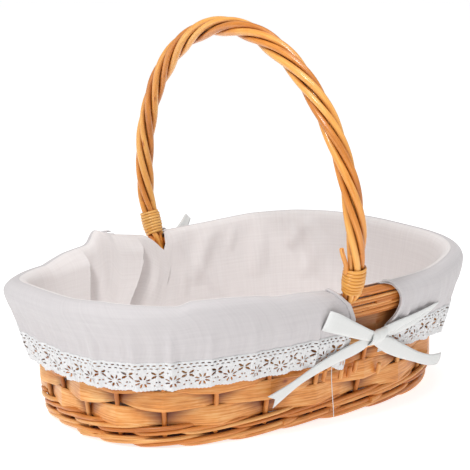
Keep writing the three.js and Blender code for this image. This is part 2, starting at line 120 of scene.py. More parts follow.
# How much higher the lined rim stands than its plain height, at shares of the way round.
rimLine = ((0, -1.5), (0.06, -2.5), (0.1, -3.5), (0.13, -1), (0.25, 0), (0.3, 1), (0.36, 5), (0.4, 6),
           (0.44, 4), (0.5, 2.5), (0.515, 3), (0.54, 7), (0.551, 10), (0.559, 14), (0.563, 6), (0.569, 1),
           (0.595, -2), (0.62, -8), (0.66, -7), (0.72, -1), (0.78, 1), (0.81, 4), (0.868, 3), (0.875, 7),
           (0.9, 7.5), (0.925, 6), (0.94, 3), (0.96, 3), (0.99, 0), (1, -1.5))
rimRounding = (-0.003, -0.0015, 0, 0.0015, 0.003)  # the line is evened out over these steps


def rimRise(share):
    at = np.mod(share, 1)
    shareOf, rise = np.array(rimLine).T
    rounded = sum(np.interp(np.mod(at + step, 1), shareOf, rise) for step in rimRounding)
    return rounded / len(rimRounding) + 0.4 * wander(at, 61, waves=12)


# the share of the way round where a stake stands
def stakeShare(index):
    even = (index + wall["stakeShift"]) / wall["stakes"]
    aside = -wall["backStakeAside"] / perimeter if index == wall["backStake"] else 0
    return even + wall["stakeCrowding"] * math.sin(4 * math.pi * even) / (4 * math.pi) + aside


def lerp(a, b, t):
    return a + (b - a) * t


def smooth(t, low=0.0, high=1.0):
    t = np.clip((t - low) / (high - low), 0, 1)
    return t * t * (3 - 2 * t)


def bump(t, centre, width):
    return np.exp(-((t - centre) / width) ** 2)


# a slow even wander made of a few sines, the same each time for the same seed
def wander(t, seed, waves=5, longest=1.0):
    dice = np.random.RandomState(seed)
    total = np.zeros_like(np.asarray(t, float))
    for i in range(waves):
        total = total + dice.uniform(0.4, 1) / (i + 1) * np.sin(
            2 * math.pi * (i + 1) * t / longest + dice.uniform(0, 6.28))
    return total / 1.6


# a flat grid of one by one, with the place of each vertex on it
def flatGrid(rows, cols):
    grid = bmesh.new()
    bmesh.ops.create_grid(grid, x_segments=rows, y_segments=cols, size=0.5)
    mesh = bpy.data.meshes.new("part")
    grid.to_mesh(mesh)
    grid.free()
    flat = np.empty(len(mesh.vertices) * 3, np.float32)
    mesh.vertices.foreach_get("co", flat)
    return mesh, flat.reshape(-1, 3)


# the vertices move to their spots, and each gets its place on the material's map
def moveAndMap(mesh, spots, places):
    mesh.vertices.foreach_set("co", spots.astype(np.float32).reshape(-1))
    corners = np.empty(len(mesh.loops), np.int32)
    mesh.loops.foreach_get("vertex_index", corners)
    layer = mesh.uv_layers.new(name="UVMap")
    layer.data.foreach_set("uv", places[corners].astype(np.float32).reshape(-1))
    return corners


# A grid of rows by cols, each vertex put where place says, joined to the piece. The shade is painted
# shade: 0 in the open and 1 deep in a gap, where the colour is darkened for the shadow there.
def bendInto(piece, rows, cols, place, tone=0.0, uvAlong=None, uvRound=None, shade=None):
    mesh, flat = flatGrid(rows, cols)
    row = np.rint((flat[:, 0] + 0.5) * rows).astype(int)
    col = np.rint((flat[:, 1] + 0.5) * cols).astype(int)
    spots = np.asarray(place(row, col), np.float32) * mm
    along = row / rows if uvAlong is None else uvAlong(row, col)
    around = col / cols * 0.999 if uvRound is None else uvRound(row, col)
    moveAndMap(mesh, spots, np.stack([along, around + tone], -1))
    depth = np.zeros(len(spots)) if shade is None else shade(spots / mm)
    mesh.attributes.new("shade", "FLOAT", "POINT").data.foreach_set("value", depth.astype(np.float32))
    piece.from_mesh(mesh)
    bpy.data.meshes.remove(mesh)


# the piece as an object that rides on the root and replaces its node
def finishPiece(piece, name, material, replaced, weld=2e-6, sharpAngle=38):
    if weld:
        bmesh.ops.remove_doubles(piece, verts=piece.verts[:], dist=weld)
    bmesh.ops.dissolve_degenerate(piece, edges=piece.edges[:], dist=1e-7)
    bmesh.ops.recalc_face_normals(piece, faces=piece.faces[:])
    for face in piece.faces:
        face.smooth = True
    limit = math.radians(sharpAngle)
    for edge in piece.edges:
        edge.smooth = not (len(edge.link_faces) == 2 and edge.calc_face_angle(0) > limit)
    mesh = bpy.data.meshes.new(name)
    piece.to_mesh(mesh)
    piece.free()
    if material:
        mesh.materials.append(material)
    made = bpy.data.objects.new(name, mesh)
    scene.collection.objects.link(made)
    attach(made, "root")
    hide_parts(replaced)
    return made


def thicken(made, thickness, offset=0.0):
    solid = made.modifiers.new("thickness", "SOLIDIFY")
    solid.thickness = thickness * mm
    solid.offset = offset
    solid.use_even_offset = False


# side and up vectors along a line, square to it
def framesAlong(points, aside):
    along = np.gradient(points, axis=0)
    along /= np.linalg.norm(along, axis=1, keepdims=True)
    side = np.cross(along, aside)
    side /= np.linalg.norm(side, axis=1, keepdims=True)
    return side, np.cross(side, along)


# a rod along a line, with its own radius at each point, closed at both ends. The section is
# round, or flattened: wide along the up vector and thin along the side vector.
def rodInto(piece, points, radii, sides, aside, tone, flatness=1.0, endShape="cut", squareness=2.0,
            shade=None):
    points = np.asarray(points, float)
    radii = np.broadcast_to(np.asarray(radii, float), (len(points),))
    side, up = framesAlong(points, np.asarray(aside, float))
    flatness = np.broadcast_to(np.asarray(flatness, float), (len(points),))
    if endShape == "cut":
        share = np.array([0.0, 0.86, 1.0])
        along = np.array([0.0, 0.0, 0.18])
    else:
        share = np.array([0.0, 0.55, 0.85, 1.0])
        along = np.array([-0.55, -0.3, 0.1, 0.45])
    # each end has a few narrowing rings: which point they stand at, their size, and how far they slide
    middle = np.arange(1, len(points) - 1)
    index = np.concatenate([np.zeros(len(share), int), middle, np.full(len(share), len(points) - 1)])
    grow = np.concatenate([share, np.ones(len(middle)), share[::-1]])
    slide = np.concatenate([along, np.zeros(len(middle)), -along[::-1]])
    direction = np.cross(up, side)
    direction = -direction if np.dot(direction[0], points[1] - points[0]) < 0 else direction
    centres = points[index] + direction[index] * (slide * radii[index])[:, None]
    reach = radii[index] * grow
    length = np.concatenate([[0], np.cumsum(np.linalg.norm(np.diff(centres, axis=0), axis=1))])

    def place(row, col):
        turn = 2 * math.pi * col / sides
        c, s = np.cos(turn), np.sin(turn)
        bulge = (np.abs(c) ** squareness + np.abs(s) ** squareness) ** (-1 / squareness)
        thin = reach[row] * flatness[index[row]]
        return (centres[row] + side[index[row]] * (thin * bulge * c)[:, None]
                + up[index[row]] * (reach[row] * bulge * s)[:, None])

    bendInto(piece, len(index) - 1, sides, place, tone=tone,
             uvAlong=lambda row, col: length[row] * mm + tone * 0.137, shade=shade)


# the same line with evenly spaced points, rounded as a smooth curve
def steady(points, steps):
    points = np.asarray(points, float)
    knots = np.concatenate([[2 * points[0] - points[1]], points, [2 * points[-1] - points[-2]]])
    fine = []
    for i in range(len(points) - 1):
        a, b, c, d = knots[i:i + 4]
        t = np.linspace(0, 1, 24, endpoint=False)[:, None]
        fine.append(0.5 * (2 * b + (c - a) * t + (2 * a - 5 * b + 4 * c - d) * t ** 2
                           + (3 * b - a - 3 * c + d) * t ** 3))
    fine = np.concatenate(fine + [points[-1:]])
    far = np.concatenate([[0], np.cumsum(np.linalg.norm(np.diff(fine, axis=0), axis=1))])
    at = np.linspace(0, far[-1], steps)
    return np.stack([np.interp(at, far, fine[:, k]) for k in range(fine.shape[1])], -1)


# how deep a point of the woven wall lies behind the wall's outer face, given as painted shade that
# darkens the willow in the gaps
def wallShade(spots):
    x, y, z = spots[:, 0], spots[:, 1], spots[:, 2]
    halfLength, halfWidth = wallHalf(z)
    power = wall["planExponent"]
    size = (np.abs(x / halfLength) ** power + np.abs(y / halfWidth) ** power) ** (1 / power)
    out = (size - 1) * np.hypot(x, y) * 0.9
    return np.clip((0.6 - out) / 2.8, 0, 1)


view = {
    "place": (-0.74609, -1.03263, 0.40623),
    "lookAt": (0.0, 0.0, 0.14237),
    "lens": 114.07,
    "roll": -0.75,
    "shiftX": -0.0070,
    "shiftY": -0.0023,
}


def makeCamera():
    camera = bpy.data.objects.new("camera", bpy.data.cameras.new("camera"))
    scene.collection.objects.link(camera)
    place = Vector(view["place"])
    back = (place - Vector(view["lookAt"])).normalized()
    right = Vector((0, 0, 1)).cross(back).normalized()
    up = back.cross(right)
    roll = math.radians(view["roll"])
    rolledRight = math.cos(roll) * right + math.sin(roll) * up
    rolledUp = -math.sin(roll) * right + math.cos(roll) * up
    turned = Matrix((rolledRight, rolledUp, back)).transposed().to_4x4()
    camera.matrix_world = Matrix.Translation(place) @ turned
    camera.data.lens = view["lens"]
    camera.data.shift_x = view["shiftX"]
    camera.data.shift_y = view["shiftY"]
    camera.data.clip_start = 0.05
    scene.camera = camera


makeCamera()

thread = {
    "diameter": 0.0006,
    # place along X, height and distance out from the wall
    "route": [
        (-1.4, 52.5, 9), (-1.3, 50, 9.4), (-1.2, 47, 10), (-1, 44, 10.6), (-0.8, 41, 11.3),
        (-0.6, 38, 12.1), (-0.4, 35, 12.9), (-0.2, 32, 13.7), (0.1, 29, 14.5), (0.4, 26, 15.3),
        (0.7, 23, 16.1), (1, 20, 16.9), (1.3, 17, 17.6), (1.6, 14, 18.3), (1.9, 11, 19),
        (2.2, 8, 19.6),
    ],
}


def makeThread():
    points = np.array([wallPoint(shareAtX(x, height), height, out) for x, height, out in thread["route"]])
    piece = bmesh.new()
    rodInto(piece, steady(points, 60), thread["diameter"] / 2 / mm, 8, (0, 1, 0), 0)
    made = finishPiece(piece, "looseThread", None, "loose_thread")
    return made


looseThread = makeThread()
print("camera and thread made")


def newGroup(name, inputs, outputs):
    group = bpy.data.node_groups.new(name, "ShaderNodeTree")
    for label, kind, value in inputs:
        socket = group.interface.new_socket(name=label, in_out="INPUT", socket_type=kind)
        if value is not None:
            socket.default_value = value
    for label, kind in outputs:
        group.interface.new_socket(name=label, in_out="OUTPUT", socket_type=kind)
    return group, group.nodes.new("NodeGroupInput"), group.nodes.new("NodeGroupOutput")


def addNode(tree, kind, values=None, **settings):
    node = tree.nodes.new(kind)
    for key, value in settings.items():
        setattr(node, key, value)
    for key, value in (values or {}).items():
        node.inputs[key].default_value = value
    return node


def maths(tree, operation, a, b=None, c=None, clamp=False):
    node = addNode(tree, "ShaderNodeMath", operation=operation, use_clamp=clamp)
    for socket, value in zip(node.inputs, (a, b, c)):
        if value is None:
            continue
        if isinstance(value, (int, float)):
            socket.default_value = value
        else:
            tree.links.new(value, socket)
    return node.outputs[0]


def mixColour(tree, factor, a, b, blend="MIX"):
    node = addNode(tree, "ShaderNodeMix", data_type="RGBA", blend_type=blend)
    for index, value in ((0, factor), (6, a), (7, b)):
        if isinstance(value, (int, float)):
            node.inputs[index].default_value = value
        elif isinstance(value, tuple):
            node.inputs[index].default_value = (*value, 1)
        else:
            tree.links.new(value, node.inputs[index])
    return node.outputs[2]


# long grain, knots and one tone for each rod, from a map in metres along and turns around
def makeWillowGroup():
    group, given, out = newGroup(
        "willowGrain",
        [("Vector", "NodeSocketVector", None), ("Dark", "NodeSocketColor", (0.3, 0.12, 0.03, 1)),
         ("Middle", "NodeSocketColor", (0.6, 0.29, 0.09, 1)),
         ("Light", "NodeSocketColor", (0.85, 0.56, 0.26, 1)),
         ("Streaks", "NodeSocketFloat", 0.5), ("Knots", "NodeSocketFloat", 0.5)],
        [("Color", "NodeSocketColor"), ("Height", "NodeSocketFloat"), ("Roughness", "NodeSocketFloat")])
    parts = addNode(group, "ShaderNodeSeparateXYZ")
    group.links.new(given.outputs["Vector"], parts.inputs[0])
    along, across = parts.outputs[0], parts.outputs[1]
    rod = maths(group, "FLOOR", across)
    around = maths(group, "FRACT", across)
    rodTone = addNode(group, "ShaderNodeTexWhiteNoise", noise_dimensions="1D")
    group.links.new(rod, rodTone.inputs["W"])
    # the turn is laid round a circle, so that nothing breaks where it closes
    turn = maths(group, "MULTIPLY", around, 2 * math.pi)
    circle = addNode(group, "ShaderNodeCombineXYZ")
    group.links.new(maths(group, "MULTIPLY", along, 5), circle.inputs[0])
    group.links.new(maths(group, "ADD", maths(group, "COSINE", turn), maths(group, "MULTIPLY", rod, 3.7)),
                    circle.inputs[1])
    group.links.new(maths(group, "SINE", turn), circle.inputs[2])
    fibre = addNode(group, "ShaderNodeTexNoise", {"Scale": 8.0, "Detail": 5, "Roughness": 0.62})
    group.links.new(circle.outputs[0], fibre.inputs["Vector"])
    stretched = addNode(group, "ShaderNodeCombineXYZ")
    group.links.new(maths(group, "MULTIPLY", along, 38), stretched.inputs[0])
    group.links.new(maths(group, "MULTIPLY", rod, 5.3), stretched.inputs[1])
    group.links.new(maths(group, "MULTIPLY", maths(group, "SINE", turn), 0.6), stretched.inputs[2])
    patch = addNode(group, "ShaderNodeTexNoise", {"Scale": 1.0, "Detail": 3, "Roughness": 0.55})
    group.links.new(stretched.outputs[0], patch.inputs["Vector"])
    knotCells = addNode(group, "ShaderNodeTexVoronoi", {"Scale": 0.9, "Randomness": 1})
    group.links.new(stretched.outputs[0], knotCells.inputs["Vector"])
    knot = maths(group, "SUBTRACT", 1, maths(group, "MULTIPLY", knotCells.outputs["Distance"], 7), clamp=True)
    tone = maths(group, "ADD", maths(group, "MULTIPLY", rodTone.outputs[0], 0.44),
                 maths(group, "MULTIPLY", patch.outputs[0], 0.60))
    streak = maths(group, "MULTIPLY", maths(group, "SUBTRACT", fibre.outputs[0], 0.5),
                   given.outputs["Streaks"])
    tone = maths(group, "ADD", tone, streak)
    tone = maths(group, "SUBTRACT", tone, maths(group, "MULTIPLY", knot, given.outputs["Knots"]))
    lower = mixColour(group, maths(group, "MULTIPLY", tone, 2.1, clamp=True),
                      given.outputs["Dark"], given.outputs["Middle"])
    upper = mixColour(group, maths(group, "MULTIPLY_ADD", tone, 2.1, -1.0, clamp=True),
                      lower, given.outputs["Light"])
    group.links.new(upper, out.inputs["Color"])
    height = maths(group, "MULTIPLY_ADD", fibre.outputs[0], 0.6, maths(group, "MULTIPLY", knot, 0.7))
    group.links.new(height, out.inputs["Height"])
    group.links.new(maths(group, "MULTIPLY_ADD", fibre.outputs[0], 0.3, 0.27), out.inputs["Roughness"])
    return group


# plain weave with thick and thin threads, from a map in metres across and down
def makeClothGroup():
    group, given, out = newGroup(
        "clothWeave",
        [("Vector", "NodeSocketVector", None), ("Threads", "NodeSocketFloat", 1500.0),
         ("Light", "NodeSocketColor", (0.82, 0.8, 0.79, 1)),
         ("Shade", "NodeSocketColor", (0.7, 0.66, 0.63, 1)),
         ("Slubs", "NodeSocketFloat", 0.5)],
        [("Color", "NodeSocketColor"), ("Height", "NodeSocketFloat")])
    parts = addNode(group, "ShaderNodeSeparateXYZ")
    group.links.new(given.outputs["Vector"], parts.inputs[0])
    across, down = parts.outputs[0], parts.outputs[1]
    threadsAcross = maths(group, "MULTIPLY", across, given.outputs["Threads"])
    threadsDown = maths(group, "MULTIPLY", down, given.outputs["Threads"])
    warp = maths(group, "ABSOLUTE", maths(group, "SINE", maths(group, "MULTIPLY", threadsAcross, math.pi)))
    weft = maths(group, "ABSOLUTE", maths(group, "SINE", maths(group, "MULTIPLY", threadsDown, math.pi)))
    # each crossing shows the warp or the weft in turn
    sumOfCells = maths(group, "ADD", maths(group, "FLOOR", threadsAcross), maths(group, "FLOOR", threadsDown))
    isWarp = maths(group, "MODULO", maths(group, "ABSOLUTE", sumOfCells), 2)
    over = addNode(group, "ShaderNodeMix", data_type="FLOAT")
    group.links.new(isWarp, over.inputs[0])
    group.links.new(weft, over.inputs[2])
    group.links.new(warp, over.inputs[3])
    slubs = []
    for stretch in ((900, 26), (26, 900)):
        place = addNode(group, "ShaderNodeCombineXYZ")
        group.links.new(maths(group, "MULTIPLY", across, stretch[0]), place.inputs[0])
        group.links.new(maths(group, "MULTIPLY", down, stretch[1]), place.inputs[1])
        noise = addNode(group, "ShaderNodeTexNoise", {"Scale": 0.55, "Detail": 3, "Roughness": 0.6})
        group.links.new(place.outputs[0], noise.inputs["Vector"])
        slubs.append(noise.outputs[0])
    slub = maths(group, "MULTIPLY_ADD", maths(group, "ADD", slubs[0], slubs[1]), 0.5, 0)
    patchPlace = addNode(group, "ShaderNodeMapping", {"Scale": (14, 14, 1)})
    group.links.new(given.outputs["Vector"], patchPlace.inputs[0])
    patch = addNode(group, "ShaderNodeTexNoise", {"Scale": 1.0, "Detail": 2})
    group.links.new(patchPlace.outputs[0], patch.inputs["Vector"])
    shade = maths(group, "MULTIPLY", maths(group, "SUBTRACT", slub, 0.36), given.outputs["Slubs"])
    shade = maths(group, "ADD", maths(group, "MULTIPLY", shade, 2.6),
                  maths(group, "MULTIPLY", patch.outputs[0], 0.35), clamp=True)
    group.links.new(mixColour(group, shade, given.outputs["Light"], given.outputs["Shade"]),
                    out.inputs["Color"])
    height = maths(group, "MULTIPLY_ADD", slub, 1.6, maths(group, "MULTIPLY", over.outputs[0], 0.7))
    group.links.new(height, out.inputs["Height"])
    return group


willowGroup = makeWillowGroup()
clothGroup = makeClothGroup()


def makeMaterial(name, group, values, bumpStrength, bumpDistance, principled, gapShadeColour=None):
    material = bpy.data.materials.new(name)
    material.use_nodes = True
    tree = material.node_tree
    tree.nodes.clear()
    uv = addNode(tree, "ShaderNodeUVMap", uv_map="UVMap")
    effect = addNode(tree, "ShaderNodeGroup")
    effect.node_tree = group
    for key, value in values.items():
        effect.inputs[key].default_value = value
    tree.links.new(uv.outputs[0], effect.inputs["Vector"])
    shader = addNode(tree, "ShaderNodeBsdfPrincipled", principled)
    colour = effect.outputs["Color"]
    # painted shade: where the shade attribute is high, the colour is multiplied by the gap's shade colour
    if gapShadeColour:
        depth = addNode(tree, "ShaderNodeAttribute", attribute_name="shade")
        gapShaded = mixColour(tree, 1.0, colour, gapShadeColour, "MULTIPLY")
        colour = mixColour(tree, depth.outputs["Fac"], colour, gapShaded)
    tree.links.new(colour, shader.inputs["Base Color"])
    if "Roughness" in effect.outputs:
        tree.links.new(effect.outputs["Roughness"], shader.inputs["Roughness"])
    relief = addNode(tree, "ShaderNodeBump", {"Strength": bumpStrength, "Distance": bumpDistance})
    tree.links.new(effect.outputs["Height"], relief.inputs["Height"])
    tree.links.new(relief.outputs[0], shader.inputs["Normal"])
    output = addNode(tree, "ShaderNodeOutputMaterial")
    tree.links.new(shader.outputs[0], output.inputs[0])
    return material


# what each finish is like on top of its own colours
willowLook = {"Coat Weight": 0.25, "Coat Roughness": 0.2, "Specular IOR Level": 0.35}
handleLook = {"Coat Weight": 0.5, "Coat Roughness": 0.16, "Specular IOR Level": 0.45}
clothLook = {"Roughness": 0.92, "Sheen Weight": 0.25, "Sheen Roughness": 0.5, "Specular IOR Level": 0.2}
# the last colour given to each willow finish is its painted shade, multiplied in deep in the gaps
willowSkin = makeMaterial(
    "willowSkin", willowGroup,
    {"Dark": (0.27, 0.065, 0.012, 1), "Middle": (0.68, 0.225, 0.038, 1), "Light": (0.98, 0.60, 0.23, 1),
     "Streaks": 1.25, "Knots": 0.6},
    0.45, 0.0005, willowLook, (0.14, 0.045, 0.02))
splitFace = makeMaterial(
    "splitWillow", willowGroup,
    {"Dark": (0.36, 0.085, 0.012, 1), "Middle": (0.78, 0.295, 0.06, 1), "Light": (0.98, 0.62, 0.26, 1),
     "Streaks": 1.5, "Knots": 0.6},
    0.5, 0.0005, willowLook, (0.20, 0.075, 0.035))
handleSkin = makeMaterial(
    "handleWillow", willowGroup,
    {"Dark": (0.40, 0.10, 0.010, 1), "Middle": (0.80, 0.30, 0.045, 1), "Light": (0.98, 0.56, 0.15, 1),
     "Streaks": 0.9, "Knots": 0.7},
    0.35, 0.0004, handleLook, (0.32, 0.12, 0.04))
caneSkin = makeMaterial(
    "bindingCane", willowGroup,
    {"Dark": (0.50, 0.17, 0.02, 1), "Middle": (0.82, 0.37, 0.06, 1), "Light": (0.98, 0.62, 0.21, 1),
     "Streaks": 0.7, "Knots": 0.1},
    0.25, 0.0003, handleLook, (0.25, 0.09, 0.03))
# the cuffs use a darker copy of the liner's cotton, painted shade for the cloth outside the rim
shadedCuffCloth = makeMaterial(
    "shadedCuffCotton", clothGroup,
    {"Threads": 1250, "Light": (0.67, 0.64, 0.645, 1), "Shade": (0.56, 0.53, 0.54, 1), "Slubs": 0.65},
    0.4, 0.0003, clothLook)
linerCloth = makeMaterial(
    "linerCotton", clothGroup,
    {"Threads": 1250, "Light": (0.85, 0.81, 0.80, 1), "Shade": (0.74, 0.69, 0.68, 1), "Slubs": 0.7},
    0.35, 0.0003, clothLook)
laceCloth = makeMaterial(
    "laceCotton", clothGroup,
    {"Threads": 1700, "Light": (0.88, 0.88, 0.885, 1), "Shade": (0.75, 0.75, 0.755, 1), "Slubs": 0.8},
    0.6, 0.0004, clothLook)
ribbonCloth = makeMaterial(
    "ribbonCotton", clothGroup,
    {"Threads": 1900, "Light": (0.80, 0.81, 0.80, 1), "Shade": (0.71, 0.715, 0.70, 1), "Slubs": 0.5},
    0.3, 0.0003, clothLook)
looseThread.data.materials.append(ribbonCloth)
print("materials made")

foot = {
    "rods": 3,
    "radius": 2.55,
    "heights": (2.6, 9.0),  # low and high place of a rod outside the stakes
    "reach": 3.0,  # how far a rod swings out from the stakes' line
    "inner": ((2.6, -4.4), (7.0, -4.6)),  # height and distance out of the inner rods
}
stakeCount = wall["stakes"]
shares = [stakeShare(i) for i in range(stakeCount)]


# the share at a place that counts stakes and parts of the way to the next one
def shareAtStake(place):
    whole = np.floor(place).astype(int)
    here = np.array(shares)[np.mod(whole, stakeCount)] + np.floor_divide(whole, stakeCount)
    after = np.array(shares)[np.mod(whole + 1, stakeCount)] + np.floor_divide(whole + 1, stakeCount)
    return lerp(here, after, place - whole)


# The rods of one round, as the places where each starts and ends, with lengths drawn as they come.
def rodRuns(start, shortest, longest):
    stop = start + stakeCount
    while start < stop:
        end = min(start + draw.uniform(shortest, longest), stop + 0.4)
        if stop - end < 2:
            end = stop + 0.4
        yield start, end
        start = end


# A rod of a three-rod wale goes outside two stakes, climbing as it goes, and inside the third.
def walePath(start, end, phase, low, high, reach, base=0.0, seed=0):
    place = np.linspace(start, end, int((end - start) * 9) + 2)
    third = np.mod(place + phase, 3)
    inside = bump(third, 0, 0.42) + bump(third, 3, 0.42)
    out = reach * (1 - 2 * inside)
    climb = np.interp(third, [0, 0.45, 1.5, 2.55, 3], [0.5, 0.0, 0.5, 1.0, 0.5])
    height = lerp(low, high, climb) + 0.5 * wander(place, seed, longest=11)
    return wallPoint(shareAtStake(place), height, base + out)


def makeFoot():
    piece = bmesh.new()
    tone = 0
    for rod in range(foot["rods"]):
        for start, end in rodRuns(rod * 1.0 - 0.3, 5.2, 8.0):
            line = walePath(start - 0.35, end + 0.3, -rod, *foot["heights"], foot["reach"],
                            base=0.3, seed=tone)
            thick = foot["radius"] * draw.uniform(0.86, 1.06)
            taper = np.linspace(1.0, draw.uniform(0.72, 0.85), len(line))
            # a few cut ends stand out from the foot
            last = np.arange(len(line))[::-1]
            kick = draw.uniform(0.0, 2.4) * smooth(1 - np.arange(len(line)) / 7)
            kick = kick + draw.uniform(0.0, 1.6) * smooth(1 - last / 6)
            line[:, :2] *= 1 + kick[:, None] / np.linalg.norm(line[:, :2], axis=1, keepdims=True)
            line[:, 2] = np.maximum(line[:, 2], thick * taper + 0.05)
            rodInto(piece, line, thick * taper, 10, (0, 0, 1), tone, shade=wallShade)
            tone += 1
    # the inner rods close the foot against the woven base
    place = np.linspace(0, stakeCount, 24 * 8)
    for height, out in foot["inner"]:
        line = wallPoint(shareAtStake(place), height + 0.3 * wander(place, tone, longest=8), out)
        rodInto(piece, line, 2.3, 8, (0, 0, 1), tone, shade=wallShade)
        tone += 1
    finishPiece(piece, "footWale", willowSkin, "foot_ring")


base = {
    "weaverPitch": 3.3,
    "weaverRadius": 1.55,
    "lift": 1.35,  # how far a weaver swings up and down
    "spokes": 26,  # and how often, on the way round
    "edgeOut": -9.2,
}


def makeBase():
    low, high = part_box("base_mat")
    middle = (low.z + high.z) / 2 / mm
    piece = bmesh.new()
    turns = np.linspace(0, 1, 193)
    outline = wallPoint(turns, 0, base["edgeOut"])
    halfLength, halfWidth = abs(outline[:, 0]).max(), abs(outline[:, 1]).max()
    for ring in range(int(halfWidth / base["weaverPitch"])):
        inset = ring * base["weaverPitch"] + base["weaverRadius"]
        scaleX = (halfLength - inset) / halfLength
        scaleY = (halfWidth - inset) / halfWidth
        side = 1 if ring % 2 else -1
        wave = side * base["lift"] * np.cos(math.pi * turns * base["spokes"])
        line = np.stack([outline[:, 0] * scaleX, outline[:, 1] * max(scaleY, 0.01), middle + wave], -1)
        rodInto(piece, line, base["weaverRadius"] * (1 + 0.08 * math.sin(ring * 2.3)), 6, (0, 0, 1), ring)
    finishPiece(piece, "wovenBase", willowSkin, "base_mat")
    for i in range(3):
        name = f"base_stick_{i + 1}"
        low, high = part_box(name)
        radius = (high.z - low.z) / 2 / mm
        x = np.linspace(low.x / mm + 0.1, high.x / mm - 0.1, 30)
        y = (low.y + high.y) / 2 / mm + 0.5 * wander(x, i, longest=300)
        line = np.stack([x, y, np.full_like(x, (low.z + high.z) / 2 / mm)], -1)
        piece = bmesh.new()
        rodInto(piece, line, radius * (1 + 0.03 * np.sin(x / 9)), 12, (0, 0, 1), i + 3)
        finishPiece(piece, f"baseStick{i + 1}", willowSkin, name)


weave = {
    "stakeRadius": 2.1,
    "stakeTop": 106,
    "waleLow": 12.4,
    "waleHigh": 20.4,
    "waleRadius": 1.95,
    "waleReach": 4.0,
    "splitBottom": 20.6,
    "splitPitch": 14.2,
    "splitRows": 5,
    "splitWide": 17.0,  # where a band lies outside a stake
    "splitNarrow": 14.4,  # where it goes behind one
    "splitThick": 2.0,
    "splitReach": 3.5,
    # short stakes pushed in outside the bands: place along X, top and bottom
    "byStakes": ((-5, 50, 40), (13, 47, 38), (22, 47, 38), (28, 51, 41), (56, 43, 34)),
}


def makeStakes():
    for i in range(stakeCount):
        share = shares[i]
        bottom, top = wallPoint(share, 9.9, 0), wallPoint(share, weave["stakeTop"], 0)
        t = np.linspace(0, 1, 22)
        line = bottom + (top - bottom) * t[:, None]
        line[:, 0] += 0.35 * wander(t, 40 + i, longest=1.2)
        radius = weave["stakeRadius"] * (1 - 0.15 * t) * (1 + 0.04 * np.sin(t * 19 + i))
        piece = bmesh.new()
        # the stakes get half the weave's painted shade
        rodInto(piece, line, radius, 12, (0.3, 1, 0), i, shade=lambda spots: 0.5 * wallShade(spots))
        for x, upper, lower in weave["byStakes"]:
            nearest = np.argmin([abs(shareAtX(x, 50) - other) % 1 for other in shares])
            if nearest == i:
                heights = np.linspace(upper, lower, 8)
                short = wallPoint(shareAtX(x, heights), heights, 6.0)
                rodInto(piece, short, 1.95, 12, (0.3, 1, 0), x + 60, endShape="round")
        finishPiece(piece, f"stake{i + 1:02d}", willowSkin, f"stake_{i + 1:02d}")


def makeWale():
    for rod in range(3):
        piece = bmesh.new()
        tone = rod * 10
        for start, end in rodRuns(rod + 0.55, 6, 9.5):
            line = walePath(start - 0.5, end + 0.25, -rod, weave["waleLow"], weave["waleHigh"],
                            weave["waleReach"], seed=tone + 70)
            thick = weave["waleRadius"] * draw.uniform(0.92, 1.12) * np.linspace(1.05, 0.8, len(line))
            rodInto(piece, line, thick, 10, (0, 0, 1), tone, shade=wallShade)
            tone += 1
        finishPiece(piece, f"waleRod{rod + 1}", willowSkin, f"wale_rod_{rod + 1}")


# One flat band of split willow over and under the stakes, between two places counted in stakes.
def splitInto(piece, start, end, row, tone):
    place = np.arange(math.ceil(start * 8), math.floor(end * 8) + 1) / 8  # one point falls on each stake
    whole = np.floor(place)
    within = place - whole
    parity = np.where(np.mod(whole + min(row, 3), 2) == 0, 1.0, -1.0)
    swing = parity * (1 - 2 * within)
    out = weave["splitReach"] * swing
    height = weave["splitBottom"] + (row + 0.5) * weave["splitPitch"] - 0.4
    height = height + 0.9 * wander(place, 300 + tone, longest=9)
    line = wallPoint(shareAtStake(place), height, out)
    outside = (swing + 1) / 2
    wide = lerp(weave["splitNarrow"], weave["splitWide"], outside)
    wide = wide * (1 + 0.05 * wander(place, 500 + tone, longest=7))
    fade = np.minimum(smooth(place, start - 0.05, start + 0.8), 1 - smooth(place, end - 0.9, end + 0.05))
    wide = wide * lerp(0.45, 1, fade)
    # the top band gets painted shadow all along, on top of the painted shade in the gaps
    rodInto(piece, line, wide / 2, 16, (0, 0, 1), tone, flatness=weave["splitThick"] / wide,
            squareness=5.0, shade=lambda spots: np.maximum(wallShade(spots), 0.7 if row == 4 else 0))


def makeSplitWeavers():
    for row in range(weave["splitRows"]):
        piece = bmesh.new()
        inside = 1 if row in (0, 2) else 0  # an end hides behind a stake that the band passes inside
        start = inside + 2 * int(draw.randint(0, 5)) + 2 * row
        first = start
        while start < first + stakeCount:
            end = start + 2 * int(draw.randint(3, 6))
            if first + stakeCount - end < 4:
                end = first + stakeCount
            splitInto(piece, start - 0.125, end + 0.125, row, row * 10 + end)
            start = end
        finishPiece(piece, f"splitWeaver{row + 1}", splitFace,
                    f"split_weaver_{row + 1}", sharpAngle=11)


border = {
    "radius": 1.75,
    "strands": ((96, 92.2), (99.9,), (103.8, 107.3)),  # heights of each border rod's strands
    "parts": 5,  # lengths of rod that follow each other in one strand
    "out": 4.15,
    "innerRadius": 2.2,
    "innerHeight": 102,
    "innerOut": -4.6,
    "topRadius": 3.5,
    "topHeight": 112.4,
    "footGap": 6,  # from the handle's middle to the end of a top rod
}


